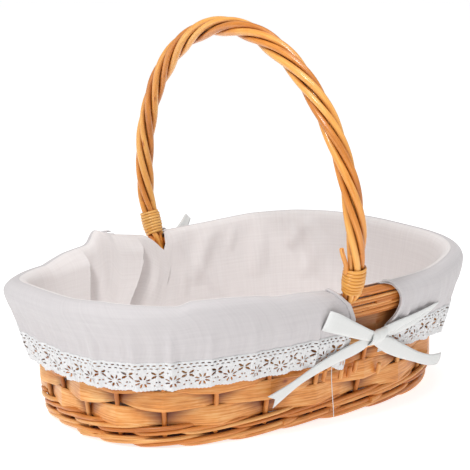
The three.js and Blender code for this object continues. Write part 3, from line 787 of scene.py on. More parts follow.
def makeBorder():
    steps, parts = 90, border["parts"]
    for row, heights in enumerate(border["strands"]):
        piece = bmesh.new()
        for strand, height in enumerate(heights):
            for part in range(parts):
                at = np.linspace(part / parts - 0.025, part / parts + 0.222, steps)
                at = at + 0.03 * row + 0.1 * strand
                slope = lerp(-1.3, 1.1, np.linspace(0, 1, steps))
                waved = height + slope + 0.5 * wander(at, row * 5 + part + 30 * strand, longest=0.3)
                line = wallPoint(at, waved, border["out"] + 0.25 * np.abs(slope) - 0.5 * strand)
                radius = border["radius"] * np.linspace(1.08, 0.72, steps) * (1 - 0.16 * strand)
                rodInto(piece, line, radius, 10, (0, 0, 1), row * 9 + part + 40 * strand)
        finishPiece(piece, f"borderRod{row + 1}", willowSkin, f"border_rod_{row + 1}")
    piece = bmesh.new()
    place = np.linspace(0, 1, 260)
    line = wallPoint(place, border["innerHeight"] + 0.3 * wander(place, 77, longest=0.5), border["innerOut"])
    rodInto(piece, line, border["innerRadius"], 12, (0, 0, 1), 31)
    finishPiece(piece, "borderInnerRod", willowSkin, "border_inner_rod")
    # the top rods dip where the cloth's rim dips
    height = border["topHeight"]
    for name, side in (("left", -1), ("right", 1)):
        x = handle["footX"] + side * border["footGap"]
        front, back = float(shareAtX(x, height)), float(shareAtX(x, height, True))
        start, end = (front, back) if side > 0 else (back, front + (1 if front < 0.5 else 0))
        at = np.linspace(start, end, 200)
        sunk = np.minimum(rimRise(at) + 2, 0)
        line = wallPoint(at, height + sunk + 0.3 * wander(at, 88, longest=0.3), 0.0)
        piece = bmesh.new()
        rodInto(piece, line, border["topRadius"], 14, (0, 0, 1), 40 + side)
        finishPiece(piece, f"borderTop{name.capitalize()}", willowSkin, f"border_top_{name}")


handle = {
    "footHalfSpan": 145,
    "widestHalfSpan": 154.3,
    "widestHeight": 164.6,
    "legShare": 0.16,  # the part of each half that is the leg, below the widest height
    "topHeight": 322.7,
    "footX": 6.2,
    "lean": -0.062,
    "skew": 1.4,
    "rods": 5,
    "rodRadius": 2.95,
    "ropeRadius": 5.6,
    "lay": 150,
    "footTaper": 0.84,
    "taperLength": 34,
    "rodSizes": (1.06, 0.93, 1.08, 0.9, 1.02),
    "tipDepths": (17.5, 13, 19, 15, 11),  # how far each rod goes down below the lashing
    "bindingBottom": 117,
    "bindingLength": 24,
    "bindingTurns": 8,
}
lashingRadius = (handle["ropeRadius"] + handle["rodRadius"]) * handle["footTaper"] + 1.2


# A point of the handle's middle line, for a share of the way from the front foot to the back one.
def handleAt(share):
    share = np.asarray(share, float)
    isBack = share > 0.5
    rise = np.where(isBack, 2 - 2 * share, 2 * share)
    leg = handle["legShare"]
    up = rise / leg
    turn = (rise - leg) / (1 - leg) * math.pi / 2
    low, top = handle["widestHeight"], handle["topHeight"]
    z = np.where(rise < leg, lerp(wall["rimHeight"], low, up), lerp(low, top, np.sin(turn)))
    span = np.where(rise < leg, lerp(handle["footHalfSpan"], handle["widestHalfSpan"], 1 - (1 - up) ** 2),
                    handle["widestHalfSpan"] * np.cos(turn))
    above = np.maximum(0, z - low) / (top - low)
    x = handle["footX"] + handle["lean"] * (z - wall["rimHeight"])
    return np.stack([x, np.where(isBack, span, -span) + handle["skew"] * above, z], -1)


fineShares = np.linspace(0, 1, 4001)
finePoints = handleAt(fineShares)
fineLength = np.concatenate([[0], np.cumsum(np.linalg.norm(np.diff(finePoints, axis=0), axis=1))])
handleLength = fineLength[-1]
coarsePoints = finePoints[::10]
acrossHandle = np.array([1, 0, handle["lean"]]) / math.hypot(1, handle["lean"])


def handleAtLength(far):
    return handleAt(np.interp(far, fineLength, fineShares))


# A point beside the handle's line: length along it from the front foot, a turn and a distance out.
def besideHandle(far, turn, out):
    far = np.asarray(far, float)
    within = np.clip(far, 0.5, handleLength - 0.5)
    along = handleAtLength(within + 0.5) - handleAtLength(within - 0.5)
    along /= np.linalg.norm(along, axis=-1, keepdims=True)
    side = np.cross(along, acrossHandle)
    side /= np.linalg.norm(side, axis=-1, keepdims=True)
    up = np.cross(side, along)
    past = far - np.clip(far, 0, handleLength)  # beyond a foot the line goes straight on down
    return (handleAtLength(far) + along * past[..., None] + side * (out * np.cos(turn))[..., None]
            + up * (out * np.sin(turn))[..., None])


# the rope is slimmer at its feet, inside the lashing
def ropeTaper(far):
    fromFoot = np.minimum(far, handleLength - far) - (handle["bindingBottom"] - wall["rimHeight"])
    grown = smooth(fromFoot, handle["bindingLength"] * 0.7, handle["bindingLength"] + handle["taperLength"])
    return lerp(handle["footTaper"], 1, grown)


# how deep a point lies between the rods of the handle, given as painted shade for the gaps between them
def ropeShade(spots):
    gap = np.full(len(spots), 1e9)
    for start in range(0, len(spots), 2000):
        part = spots[start:start + 2000]
        away = np.linalg.norm(part[:, None] - coarsePoints[None], axis=2)
        gap[start:start + 2000] = away.min(1)
    grown = np.where(spots[:, 2] < 150, handle["footTaper"], 1)
    return np.clip((7.4 * grown - gap) / 3.4, 0, 1)


def makeHandle():
    start = handle["bindingBottom"] - wall["rimHeight"] - 0.5
    depths = handle["tipDepths"]
    for i in range(handle["rods"]):
        # below the lashing the rods draw together to a point behind the border
        far = np.linspace(start - depths[i], handleLength - start + depths[(i + 2) % len(depths)], 420)
        turn = 2 * math.pi * i / handle["rods"] + 2 * math.pi * far / handle["lay"]
        turn = turn + 0.10 * wander(far, 900 + i, longest=400)
        below = np.maximum(start - far, far - (handleLength - start))
        squeeze = 1 - 0.62 * smooth(below, -1, 17)
        out = handle["ropeRadius"] * ropeTaper(far) * squeeze
        out = out * (1 + 0.035 * wander(far, 920 + i, longest=170))
        radius = (handle["rodRadius"] * handle["rodSizes"][i] * ropeTaper(far)
                  * (1 - 0.45 * smooth(below, 0, 18)) * (1 + 0.03 * wander(far, 940 + i, longest=90)))
        line = besideHandle(far, turn, out)
        # the tips lean in towards the wall
        lean = np.maximum(below, 0) ** 1.3 * 0.11
        line[:, 1] += np.where(far < handleLength / 2, lean, -lean)
        piece = bmesh.new()
        rodInto(piece, line, radius, 12, acrossHandle, i, endShape="round", shade=ropeShade)
        finishPiece(piece, f"handleRod{i + 1}", handleSkin, f"handle_rod_{i + 1}")
    piece = bmesh.new()
    far = np.linspace(-6, handleLength + 6, 300)
    rodInto(piece, besideHandle(far, far * 0, far * 0), 2.0, 10, acrossHandle, 7)
    finishPiece(piece, "handleCore", handleSkin, "handle_core")
    # a rod's cut end stands beside the front leg, above the lashing
    piece = bmesh.new()
    t = np.linspace(-0.3, 1, 22)
    far = handle["bindingBottom"] + handle["bindingLength"] - wall["rimHeight"] + 18 * t
    out = 8.8 + 6.5 * smooth(t, -0.2, 1.1)
    rodInto(piece, besideHandle(far, far * 0 - math.pi / 2, out), 1.9, 12, acrossHandle, 9)
    finishPiece(piece, "handleRodEnd", handleSkin, "handle_rod_end")


# how deep a point lies between two turns of the lashing, given as painted shade for the gap
def caneShade(spots):
    low, high = handleAt([0.0, 0.04])
    t = (spots[:, 2] - low[2]) / (high[2] - low[2])
    axisX = low[0] + (high[0] - low[0]) * t
    axisY = (low[1] + (high[1] - low[1]) * t) * np.where(spots[:, 1] < 0, 1, -1)
    away = np.hypot(spots[:, 0] - axisX, spots[:, 1] - axisY)
    waist = 1 - 0.20 * (1 - smooth(t * 3, 0, 1.6))
    return np.clip((lashingRadius * waist + 0.9 - away) / 1.4, 0, 1)


# The front lashing's tail comes down in a small loop: length along the handle, turn, distance out.
caneLoop = ((5.0, 1.5, 7.6), (1.5, 1.55, 9.4), (-4.0, 1.6, 10.4), (-8.5, 1.5, 9.2), (-9.0, 1.4, 7.2),
            (-5.0, 1.35, 6.4), (1.0, 1.3, 6.2))


def makeBindings():
    turns, length = handle["bindingTurns"], handle["bindingLength"]
    pitch = length / turns
    t = np.linspace(0, turns, turns * 40)
    up = handle["bindingBottom"] - wall["rimHeight"] + 0.9 + t * (length - 1.8) / turns
    # snug at the foot, fullest in the middle
    waist = 1 - 0.16 * (1 - smooth(t, 0, 3.4)) - 0.03 * smooth(t, turns - 1.5, turns)
    out = lashingRadius * waist * (1 + 0.012 * np.sin(t * 2 * math.pi * 5))
    for name, isBack in (("Front", False), ("Back", True)):
        piece = bmesh.new()
        far = handleLength - up if isBack else up
        turn = 2 * math.pi * t * (1 if isBack else -1) + 0.6
        rodInto(piece, besideHandle(far, turn, out), pitch * 0.49, 12, (0, 0, 1), 3 if isBack else 11,
                flatness=2.5 / pitch, shade=caneShade)
        if not isBack:
            rodInto(piece, steady(besideHandle(*np.array(caneLoop).T), 40), 0.95, 8, (0, 1, 0.2), 14)
        finishPiece(piece, f"binding{name}", caneSkin, f"binding_{name.lower()}")


makeFoot()
makeBase()
makeStakes()
makeWale()
makeSplitWeavers()
makeBorder()
makeHandle()
makeBindings()
print("willow made")

cloth = {
    "floor": 13.6,
    "insideOut": -8.3,
    "rimTop": 118.3,
    "outsideOut": 7.8,
    "join": 112.5,  # height outside the rim where the bag meets the cuffs
    "hem": 80,
    "leftHemDrop": 5,  # how much lower the hem hangs at the -X end
    "rightHemDrop": 10,  # and at the +X end
    "thickness": 0.7,
    "notchBottom": 104,
    "bagDrop": 190,  # from the middle of the bag's floor to its top edge, along the cloth
    "cuffDrop": 45,
}


# Height and distance out along the cloth, from the floor's edge over the rim and down the outside.
def clothPath():
    floor, inside, top = cloth["floor"], cloth["insideOut"], cloth["rimTop"]
    upInside = [(floor, -16), (floor + 1.5, -10.5), (22, inside), (60, inside - 0.2), (84, inside - 0.1),
                (104, inside), (112, inside + 0.1)]
    overRim = [(116.5, -7.2), (top + 0.9, -4.6), (top + 1.3, -1.9), (top + 0.2, 2.2), (115, 5.6), (108, 7.4)]
    downOutside = [(height, cloth["outsideOut"]) for height in (100, 92, 84, 76, 67, 56, 40, 20)]
    return steady(upInside + overRim + downOutside, 600)


path = clothPath()
pathFar = np.concatenate([[0], np.cumsum(np.linalg.norm(np.diff(path, axis=0), axis=1))])
topIndex = int(np.argmax(path[:, 0]))
joinIndex = topIndex + int(np.argmin(np.abs(path[topIndex:, 0] - cloth["join"])))
topFar, joinFar = pathFar[topIndex], pathFar[joinIndex]


# how far along the cloth a height outside the rim is
def outsideFar(height):
    outer = path[joinIndex:, 0][::-1]
    return np.interp(height, outer, pathFar[joinIndex:][::-1])


# the height of the hem, which hangs lower at the two ends
def hemAt(share):
    x = wallPoint(share, cloth["hem"], cloth["outsideOut"])[..., 0]
    drop = np.where(x < 0, cloth["leftHemDrop"], cloth["rightHemDrop"])
    return cloth["hem"] - drop * (x / wall["rimHalfLength"]) ** 2


# Folds inside the bag: the cloth stands in from the wall up to an edge, then drops back. The edge is
# a list of heights and places along X, and the reach is how far round the sheet's lines follow it.
insideFolds = (
    {"edge": ((124, -83), (100, -88), (76, -94), (20, -104)),
     "run": 60, "depth": 10, "drop": 1.1, "reach": 0.034},
    {"edge": ((121, -23), (112, -21), (96, -26), (80, -37), (64, -50), (20, -72)),
     "run": 46, "depth": 9, "drop": 1.2, "reach": 0.045},
)
foldMiddle = 100  # the height where the sheet's lines are at rest beside a fold

# Creases in the bag's far wall: place along X and height at each end, width, and how far they stand in.
insideCreases = (
    ((62, 118), (28, 70), 8, 3.6), ((40, 88), (62, 52), 6, 2.6), ((118, 116), (96, 66), 10, 3.4),
    ((150, 112), (126, 84), 5, 3.0), ((160, 96), (132, 52), 6, 2.8), ((22, 84), (20, 58), 3.5, 1.8),
    ((-66, 106), (-70, 58), 7, 2.4), ((84, 112), (76, 92), 4, 2.0), ((-4, 92), (-18, 60), 5, 1.8),
)


def foldEdge(fold, height):
    heights, edges = np.array(fold["edge"], float)[::-1].T
    return np.interp(height, heights, edges)


# how far the bag's wall stands in from its plain place
def insideShape(share, height, point):
    x, y = point[..., 0], point[..., 1]
    back = smooth(y, 10, 60)
    stand = np.zeros_like(x)
    for fold in insideFolds:
        edge = foldEdge(fold, height)
        rise = np.clip((x - edge + fold["run"]) / fold["run"], 0, 1) ** 1.7
        fall = 1 - smooth(x, edge, edge + fold["drop"])
        stand = stand + fold["depth"] * rise * fall * back
    # a soft crease down from the rim on the right, and one beside the notch
    crease = 150 + (124 - height) * 0.1
    stand = stand + back * 5 * bump(x, crease, 6) * smooth(height, 30, 110)
    stand = stand + back * 3 * bump(x, crease - 15, 4) * smooth(height, 50, 116)
    stand = stand - back * 2.4 * bump(x, crease - 26, 12)
    beside = 16 + (121 - height) * 0.35
    stand = stand + back * 2.6 * bump(x, beside, 6) * smooth(height, 60, 112)
    for (x0, h0), (x1, h1), wide, deep in insideCreases:
        runX, runUp = x1 - x0, h1 - h0
        along = np.clip(((x - x0) * runX + (height - h0) * runUp) / (runX ** 2 + runUp ** 2), 0, 1)
        away = np.hypot(x - lerp(x0, x1, along), height - lerp(h0, h1, along))
        stand = stand + back * deep * np.sin(math.pi * lerp(0.12, 1, along)) * bump(away, 0, wide)
    stand = stand + 1.4 * wander(share, 21, waves=9) + 0.9 * wander(share + height / 700, 22, waves=14)
    return np.maximum(stand, -0.3) * smooth(height, 12, 45)


# how far the cuff stands out from its plain place
def outsideShape(share, height, point):
    x = point[..., 0]
    low = smooth(wall["rimHeight"] - height, 0, 34)
    wave = 0.9 * wander(share, 31, waves=10) + 0.7 * wander(share * 1.0 + height / 400, 32, waves=16)
    gather = 0.7 * np.sin(2 * math.pi * (share * 92 + 0.7 * wander(share, 33, waves=6)))
    gather = gather * smooth(1 - np.abs(wander(share, 34, waves=7)), 0.2, 1)
    ends = bump(np.abs(x), 196, 34)
    belly = 1.6 * np.sin(math.pi * np.clip((wall["rimHeight"] - height) / 42, 0, 1))
    flare = 5.5 * ends * smooth(height, 78, 112)
    # soft creases run down to the hem, and slanting ones near the +X end
    crease = np.sin(2 * math.pi * (share * 61 + height / 90 + 0.8 * wander(share, 35, waves=8)))
    crease = np.abs(crease) ** 3 * smooth(x, 90, 165) * 1.8
    pinch = 2.6 * np.maximum(0, np.sin(2 * math.pi * (share * 34 + 0.6 * wander(share, 36, waves=9)))) ** 4
    return wave * lerp(0.5, 1, low) + (gather + pinch) * low ** 2 + belly + flare + crease * low


pathSlope = np.gradient(path, axis=0)
pathSlope /= np.linalg.norm(pathSlope, axis=1, keepdims=True)


# A point of the cloth: share of the way round, how far along the path, and a lift off the surface.
def clothPoint(share, far, lift=0.0):
    share, far = np.broadcast_arrays(np.asarray(share, float), np.asarray(far, float))
    height = np.interp(far, pathFar, path[:, 0]) + lift * np.interp(far, pathFar, pathSlope[:, 1])
    out = np.interp(far, pathFar, path[:, 1]) - lift * np.interp(far, pathFar, pathSlope[:, 0])
    plain = wallPoint(share, height, out)
    inside = 1 - smooth(far, topFar - 16, topFar - 1)
    outside = smooth(far, topFar + 2, topFar + 16)
    out = out - insideShape(share, height, plain) * inside + outsideShape(share, height, plain) * outside
    height = height + rimRise(share) * bump(far, topFar, 24)
    return wallPoint(share, height, out)


# The notch at each foot of the handle, as places along X counted towards the keyhole.
notch = {"left": -13, "bottom": -2, "right": 17, "standEnd": 50}


# how far up its path the bag reaches: over the rim, or less beside the handle
def bagTopFar(share):
    point = wallPoint(share, 112, -8)
    isFront = point[..., 1] < 0
    x = np.where(isFront, point[..., 0], -point[..., 0])
    bottomFar = float(np.interp(cloth["notchBottom"], path[:topIndex, 0], pathFar[:topIndex]))
    standFar = topFar - 1.5
    falling = smooth(x, notch["left"], notch["bottom"]) ** 0.7
    rising = np.clip((x - notch["bottom"]) / (notch["right"] - notch["bottom"]), 0, 1) ** 0.8
    vee = np.where(x < notch["bottom"], lerp(joinFar, bottomFar, falling), lerp(bottomFar, standFar, rising))
    stand = lerp(standFar, joinFar, smooth(x, notch["standEnd"], notch["standEnd"] + 7))
    reach = np.where(x > notch["right"], stand, vee)
    return np.where(np.abs(point[..., 0]) > 75, joinFar, np.where(x < notch["left"], joinFar, reach))


def foldShare(fold, height):
    return shareAtX(foldEdge(fold, height), height, True)


# The sheet's lines up the wall follow the edge of each fold, which keeps the fold sharp.
def alongFolds(share, far):
    height = np.where(far < topFar, np.interp(far, pathFar, path[:, 0]), wall["rimHeight"])
    moved = share
    for fold in insideFolds:
        middle = float(foldShare(fold, foldMiddle))
        shift = (foldShare(fold, np.maximum(height, 40)) - middle) * smooth(height, 14, 60)
        moved = moved + shift * bump(share, middle, fold["reach"])
    return moved


def makeBag():
    rows, cols, floorRows = 470, 92, 14
    wallRows = cols - floorRows
    # the sheet's lines crowd together at each fold
    even = np.linspace(0, 1, 4001)
    crowd = 1 + sum(7 * bump(even, float(foldShare(fold, foldMiddle)) + 0.001, 0.008) for fold in insideFolds)
    crowd = np.concatenate([[0], np.cumsum(crowd[1:] + crowd[:-1])])
    shareOfRow = np.interp(np.linspace(0, crowd[-1], rows + 1), crowd, even)

    def place(row, col):
        share = shareOfRow[row]
        up = np.clip((col - floorRows) / wallRows, 0, 1)
        far = up * bagTopFar(share)
        spot = clothPoint(alongFolds(share, up * joinFar), far, -0.9 * smooth(far, topFar + 1, topFar + 5))
        reach = np.clip(col / floorRows, 0, 1)
        ring = clothPoint(share, np.zeros_like(share))
        flat = ring * reach[:, None]
        flat[:, 2] = cloth["floor"] + 0.5 * reach * wander(share, 3, waves=8)
        return np.where((col <= floorRows)[:, None], flat, spot)

    piece = bmesh.new()
    bendInto(piece, rows, cols, place, uvAlong=lambda row, col: row / rows * perimeter * mm,
             uvRound=lambda row, col: col / cols * cloth["bagDrop"] * mm)
    bag = finishPiece(piece, "linerBag", linerCloth, "liner_bag", sharpAngle=70)
    thicken(bag, cloth["thickness"], -1)


# A cuff's two upright edges, as places along X: the near one beside the handle, the far one past the bow.
def nearEdgeX(height):
    return np.interp(height, (60, 80, 91, 104, 114, 118), (8, 13, 13, 5, -9, -12))


def farEdgeX(height):
    up = np.clip((height - cloth["hem"]) / (wall["rimHeight"] - cloth["hem"]), 0, 1)
    return 42 + 19 * np.sin(math.pi * np.minimum(1, 0.1 + up * 0.9)) ** 0.8


def cuffEdges(height, isLeft):
    if isLeft:
        front = shareAtX(nearEdgeX(height), height)
        return shareAtX(-farEdgeX(height), height, True), np.where(front < 0.5, front + 1, front)
    return shareAtX(farEdgeX(height), height), shareAtX(-nearEdgeX(height), height, True)


cuffTopFar = topFar + 1.0
hemFold = {"width": 4.5, "lift": 1.7, "rows": 40, "cols": 8}  # the turned edge beside the handle


def makeCuffs():
    rows, cols = 330, 60
    for name, isLeft in (("Left", True), ("Right", False)):

        def place(row, col):
            down = col / cols
            height = lerp(wall["rimHeight"], cloth["hem"], down)
            start, end = cuffEdges(height, isLeft)
            share = lerp(start, end, row / rows)
            far = lerp(cuffTopFar, outsideFar(hemAt(share)), down)
            lift = (cloth["thickness"] + 0.05) * smooth(far, cuffTopFar, cuffTopFar + 6)
            return clothPoint(share, far, lift)

        piece = bmesh.new()
        bendInto(piece, rows, cols, place, uvAlong=lambda row, col: row / rows * perimeter / 2 * mm,
                 uvRound=lambda row, col: col / cols * cloth["cuffDrop"] * mm)
        for isStart in (True, False):  # a narrow turned edge at each side, doubled over the cuff

            def placeFold(row, col):
                down = row / hemFold["rows"]
                height = lerp(wall["rimHeight"] - 1, cloth["hem"] + 1, down)
                start, end = cuffEdges(height, isLeft)
                inward = hemFold["width"] * col / hemFold["cols"] / perimeter
                share = start + inward if isStart else end - inward
                far = lerp(cuffTopFar + 1, outsideFar(hemAt(share)) - 1, down)
                arch = np.sin(math.pi * (0.12 + 0.88 * col / hemFold["cols"])) ** 0.6
                return clothPoint(share, far, cloth["thickness"] + 0.1 + hemFold["lift"] * arch)

            bendInto(piece, hemFold["rows"], hemFold["cols"], placeFold,
                     uvAlong=lambda row, col: row / hemFold["rows"] * cloth["cuffDrop"] * mm,
                     uvRound=lambda row, col: col / hemFold["cols"] * 5 * mm)
        cuff = finishPiece(piece, f"linerCuff{name}", shadedCuffCloth,
                           f"liner_cuff_{name.lower()}", weld=0, sharpAngle=70)
        thicken(cuff, cloth["thickness"], -1)


lace = {
    "height": 25,
    "thickness": 0.55,
    "pitch": 22,  # from one daisy to the next
    "slitPitch": 4.4,
    "cell": 0.62,
    "over": 1.2,  # how much it overlaps the hem
    "fullness": 1.03,
    "cornerDrop": 9,
}


# Distance from the edge of the nearest hole, below 0 inside one, on the flat lace in millimetres:
# u runs along it and v goes down from its top edge.
def lacePattern(u, v):
    pitch = lace["pitch"]
    nearest = np.full_like(u, 9.0)

    def ellipse(du, dv, a, b, turn):
        c, s = np.cos(turn), np.sin(turn)
        p, q = du * c + dv * s, -du * s + dv * c
        size = np.sqrt((p / a) ** 2 + (q / b) ** 2)
        return (size - 1) * min(a, b)

    def wrap(value, period):
        return (value + period / 2) % period - period / 2

    for rowAt, shift in ((2.4, 0), (5.0, 2.2)):  # two rows of slits at the top
        nearest = np.minimum(nearest, ellipse(wrap(u - shift, lace["slitPitch"]), v - rowAt, 1.3, 0.55, 0))
    for degrees in (34, 146, 214, 326):  # a flower of four leaves over each gap between daisies
        turn = math.radians(degrees)
        du = wrap(u - pitch / 2, pitch) - 3.3 * math.cos(turn)
        nearest = np.minimum(nearest, ellipse(du, v - 10.8 - 3.0 * math.sin(turn), 2.3, 0.95, turn))
    for k in range(8):  # a daisy of eight petals
        turn = math.pi * (k + 0.5) / 4
        du, dv = wrap(u, pitch) - 4.1 * math.cos(turn), v - 16.6 - 3.7 * math.sin(turn)
        nearest = np.minimum(nearest, ellipse(du, dv, 1.9, 0.72, turn))
    for side in (-1, 1):  # small eyelets between them
        for du, dv, size in ((side * 8.4, 20.6, 0.75), (side * 9.9, 17.2, 0.7), (side * 3.6, 8.9, 0.6)):
            nearest = np.minimum(nearest, ellipse(wrap(u - du, pitch), v - dv, size, size, 0))
    return nearest


def makeLace():
    for name, isLeft in (("Left", True), ("Right", False)):
        start, end = (float(edge) for edge in cuffEdges(cloth["hem"], isLeft))
        length = (end - start) * perimeter * lace["fullness"]

        def place(u, v):
            # the lower edge runs in scallops with small points
            scallop = 1.3 * np.abs(np.cos(math.pi * u / lace["pitch"]))
            scallop = scallop + 0.55 * np.abs(np.sin(math.pi * u / 2.9))
            v = v * (1 - (1.7 - scallop) / lace["height"] * smooth(v, 12, 25))
            share = start + (end - start) * u / length
            top = outsideFar(hemAt(share)) - lace["over"]
            fall = clothPoint(share, top + 0 * v)
            # the lace hangs from the hem, a little waved
            flare = 0.75 + 0.7 * smooth(v, 0, 2) - 1.4 * smooth(v, 4, 25)
            flare = flare + 0.9 * wander(share, 52, waves=14) * smooth(v, 3, 25)
            out = cloth["outsideOut"] + outsideShape(share, hemAt(share), fall) + flare
            # the free corner beside the bow hangs lower
            corner = smooth(share * isLeft, end - 30 / perimeter, end) if isLeft else 0 * share
            sag = lace["cornerDrop"] * corner * smooth(v, 4, 25)
            return wallPoint(share, hemAt(share) + lace["over"] - v - sag, out)

        mesh, flat = flatGrid(int(length / lace["cell"]), int(lace["height"] / lace["cell"]))
        flat = flat.astype(float)
        u = (flat[:, 0] + 0.5) * length
        v = (flat[:, 1] + 0.5) * lace["height"]
        # vertices near the edge of a hole move onto it, then the faces inside holes go
        near = lacePattern(u, v)
        step = 0.05
        slopeU = (lacePattern(u + step, v) - near) / step
        slopeV = (lacePattern(u, v + step) - near) / step
        size = np.maximum(slopeU ** 2 + slopeV ** 2, 0.2)
        close = (np.abs(near) < lace["cell"] * 0.55) & (v > 0.2) & (v < lace["height"] - 0.2)
        u = np.where(close, u - near * slopeU / size, u)
        v = np.where(close, v - near * slopeV / size, v)
        corners = moveAndMap(mesh, place(u, v) * mm, np.stack([u, v], -1) * mm)
        centreU = u[corners].reshape(-1, 4).mean(1)
        centreV = v[corners].reshape(-1, 4).mean(1)
        gone = lacePattern(centreU, centreV) < 0
        piece = bmesh.new()
        piece.from_mesh(mesh)
        bpy.data.meshes.remove(mesh)
        piece.faces.ensure_lookup_table()
        bmesh.ops.delete(piece, geom=[f for f, g in zip(piece.faces, gone) if g], context="FACES")
        strip = finishPiece(piece, f"lace{name}", laceCloth, f"lace_{name.lower()}",
                            weld=0, sharpAngle=80)
        thicken(strip, lace["thickness"], 0)
        print("lace", name, "faces", len(strip.data.polygons))


ribbon = {
    "width": 10,
    "thickness": 0.55,
    # place along X, height, distance out, and width as a share of the ribbon's
    "leftTail": [(36, 73, 12.2, 0.75), (22, 68, 13.6, 1.1), (5, 63.5, 13.4, 1.15), (-15, 57, 12.8, 0.95),
                 (-33, 48.5, 12.2, 0.75), (-46, 41, 12, 0.9), (-58, 34, 12, 1.35)],
    "rightTail": [(36, 72, 12.2, 0.8), (52, 63, 14, 1.3), (70, 53, 15, 1.2), (90, 43, 15.6, 0.95),
                  (110, 34, 16, 0.95), (130, 27.5, 16, 1.05), (142, 24, 15.6, 0.9), (147, 23, 15.4, 0.35)],
    "loop": [(36, 74, 12.5, 0.75), (24, 78, 11.2, 1.05), (4, 87, 10.4, 1.35), (-14, 95.5, 10.8, 1.6),
             (-20.5, 98, 13.6, 1.7), (-14, 95.5, 17.2, 1.65), (2, 88, 18.4, 1.35), (24, 78, 16.2, 1.0),
             (36, 73, 13.5, 0.75)],
    "backTail": [(36, 72, 12.2, 0.8), (52, 63, 13, 1.2), (70, 53, 13, 1.1), (90, 44, 12.8, 0.9),
                 (106, 38, 12.4, 0.85), (116, 35, 12, 0.8)],
    "backLoop": [(36, 74, 12.5, 0.7), (24, 83, 11.2, 1.0), (-4, 101, 11.0, 1.1), (-36, 115, 11.5, 0.9),
                 (-50, 129, 12.6, 0.7), (-36, 113, 15.0, 1.0), (-4, 98, 16.6, 1.1), (24, 80, 15.0, 0.95),
                 (36, 73, 13.5, 0.7)],
    "strap": [(36, 74, 12.4, 0.8), (56, 78, 13.2, 0.9), (80, 82, 13.6, 0.6), (108, 86, 13.2, 0.25)],
    "strapUnder": [(40, 72, 11.8, 0.6), (60, 73.5, 12.4, 0.7), (84, 77, 12.8, 0.55), (112, 86, 12.6, 0.2)],
}
knot = {"x": 38.5, "height": 73, "out": 13.4, "length": 15, "halfTall": 6.6, "halfDeep": 4.2, "ribbon": 30}


# A ribbon along its stops, joined to the piece, and the length of it.
def ribbonInto(piece, stops, isBack, steps=60, cols=6, notchEnd=False, cup=0.5):
    line = steady(stops, steps)
    lengths = np.concatenate([[0], np.cumsum(np.linalg.norm(np.diff(line[:, :3], axis=0), axis=1))])
    along = np.gradient(line[:, :3], axis=0)
    flat = np.hypot(along[:, 0], along[:, 1])
    # where the ribbon turns over on itself it keeps the direction that it came with
    direction = np.stack([along[:, 0], along[:, 1]], -1) / np.maximum(flat, 0.15)[:, None]
    turned = -1 if isBack else 1
    reference = direction[0].copy()
    for k in range(steps):
        if np.dot(direction[k], reference) < 0:
            direction[k] = -direction[k]
        if flat[k] < 0.3:
            direction[k] = reference
        direction[k] /= max(np.linalg.norm(direction[k]), 1e-6)
        reference = direction[k]

    def place(row, col):
        aside = (col / cols - 0.5) * ribbon["width"] * line[row, 3]
        x = line[row, 0] - aside * direction[row, 1]
        height = line[row, 1] + aside * direction[row, 0]
        out = line[row, 2] - cup * (2 * col / cols - 1) ** 2
        if notchEnd:
            ahead = smooth(row / (steps - 1), 0.9, 1) * 4.5 * (np.abs(2 * col / cols - 1) - 0.5)
            x = x + ahead * direction[row, 0]
            height = height + ahead * direction[row, 1]
        share = shareAtX(turned * x, height, isBack)
        return wallPoint(share, height, out)

    bendInto(piece, steps - 1, cols, place, uvAlong=lambda row, col: lengths[row] * mm,
             uvRound=lambda row, col: col / cols * ribbon["width"] * mm)
    return lengths[-1]


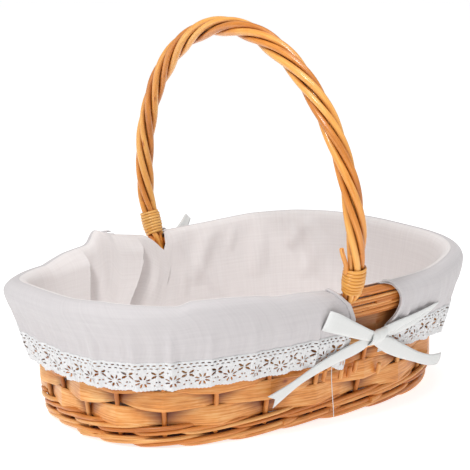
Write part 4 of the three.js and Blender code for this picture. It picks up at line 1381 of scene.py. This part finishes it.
def makeBow(name, isBack, node):
    piece = bmesh.new()
    total = ribbonInto(piece, ribbon["leftTail"], isBack, steps=80, notchEnd=True)
    total += ribbonInto(piece, ribbon["backTail" if isBack else "rightTail"], isBack, steps=80)
    total += ribbonInto(piece, ribbon["backLoop" if isBack else "loop"], isBack, steps=110, cup=0.2)
    total += ribbonInto(piece, ribbon["strap"], isBack)
    total += ribbonInto(piece, ribbon["strapUnder"], isBack)
    # the knot is one turn of ribbon round the middle
    turned = -1 if isBack else 1

    def place(row, col):
        turn = 2 * math.pi * row / 40
        tall = knot["halfTall"] + 0.4 * np.sin(2 * turn)
        aside = (col / 10 - 0.5) * knot["length"]
        toEdge = (2 * col / 10 - 1) ** 2
        ridge = 0.35 * np.sin(col / 10 * math.pi * 6) - 1.1 * toEdge
        x = knot["x"] + aside + 1.2 * np.sin(turn)
        height = knot["height"] + (tall + ridge * 0.4) * np.sin(turn) * (1 - 0.12 * toEdge) + 0.12 * aside
        out = knot["out"] + (knot["halfDeep"] + ridge) * np.cos(turn)
        return wallPoint(shareAtX(turned * x, height, isBack), height, out)

    bendInto(piece, 40, 10, place, uvAlong=lambda row, col: row / 40 * knot["ribbon"] * mm,
             uvRound=lambda row, col: col / 10 * ribbon["width"] * mm)
    total += knot["ribbon"]
    bow = finishPiece(piece, name, ribbonCloth, node, sharpAngle=70)
    thicken(bow, ribbon["thickness"], 0)


makeBag()
makeCuffs()
makeLace()
makeBow("tieBowFront", False, "tie_bow_front")
makeBow("tieBowBack", True, "tie_bow_back")
print("cloth made")

studio = {
    "floorColour": (0.6, 0.6, 0.6, 1),
    "floorGlow": 0.75,
    "skyStrength": 0.40,
    # name, place, size in metres and power in watts
    "lights": (
        ("key", (-0.95, -0.35, 1.40), 0.35, 14.0),
        ("fill", (1.1, -1.1, 0.9), 0.8, 2.0),
        ("top", (0.1, -0.3, 1.8), 0.7, 8.0),
    ),
}


def makeStage():
    piece = bmesh.new()
    bmesh.ops.create_grid(piece, x_segments=2, y_segments=2, size=14)
    mesh = bpy.data.meshes.new("floor")
    piece.to_mesh(mesh)
    piece.free()
    floor = bpy.data.objects.new("floor", mesh)
    scene.collection.objects.link(floor)
    material = bpy.data.materials.new("paleFloor")
    material.use_nodes = True
    shader = material.node_tree.nodes["Principled BSDF"]
    shader.inputs["Base Color"].default_value = studio["floorColour"]
    shader.inputs["Roughness"].default_value = 0.9
    shader.inputs["Emission Color"].default_value = (1, 1, 1, 1)
    shader.inputs["Emission Strength"].default_value = studio["floorGlow"]
    mesh.materials.append(material)
    world = bpy.data.worlds.new("studio")
    scene.world = world
    world.use_nodes = True
    sky = world.node_tree.nodes["Background"]
    sky.inputs["Color"].default_value = (1, 1, 1, 1)
    sky.inputs["Strength"].default_value = studio["skyStrength"]
    for name, place, size, power in studio["lights"]:
        light = bpy.data.lights.new(name, "AREA")
        light.size = size
        light.energy = power
        lamp = bpy.data.objects.new(name, light)
        lamp.location = place
        lamp.rotation_euler = (Vector((0, 0, 0.1)) - Vector(place)).to_track_quat("-Z", "Y").to_euler()
        scene.collection.objects.link(lamp)
    scene.view_settings.view_transform = "Standard"


makeStage()
print("stage made")
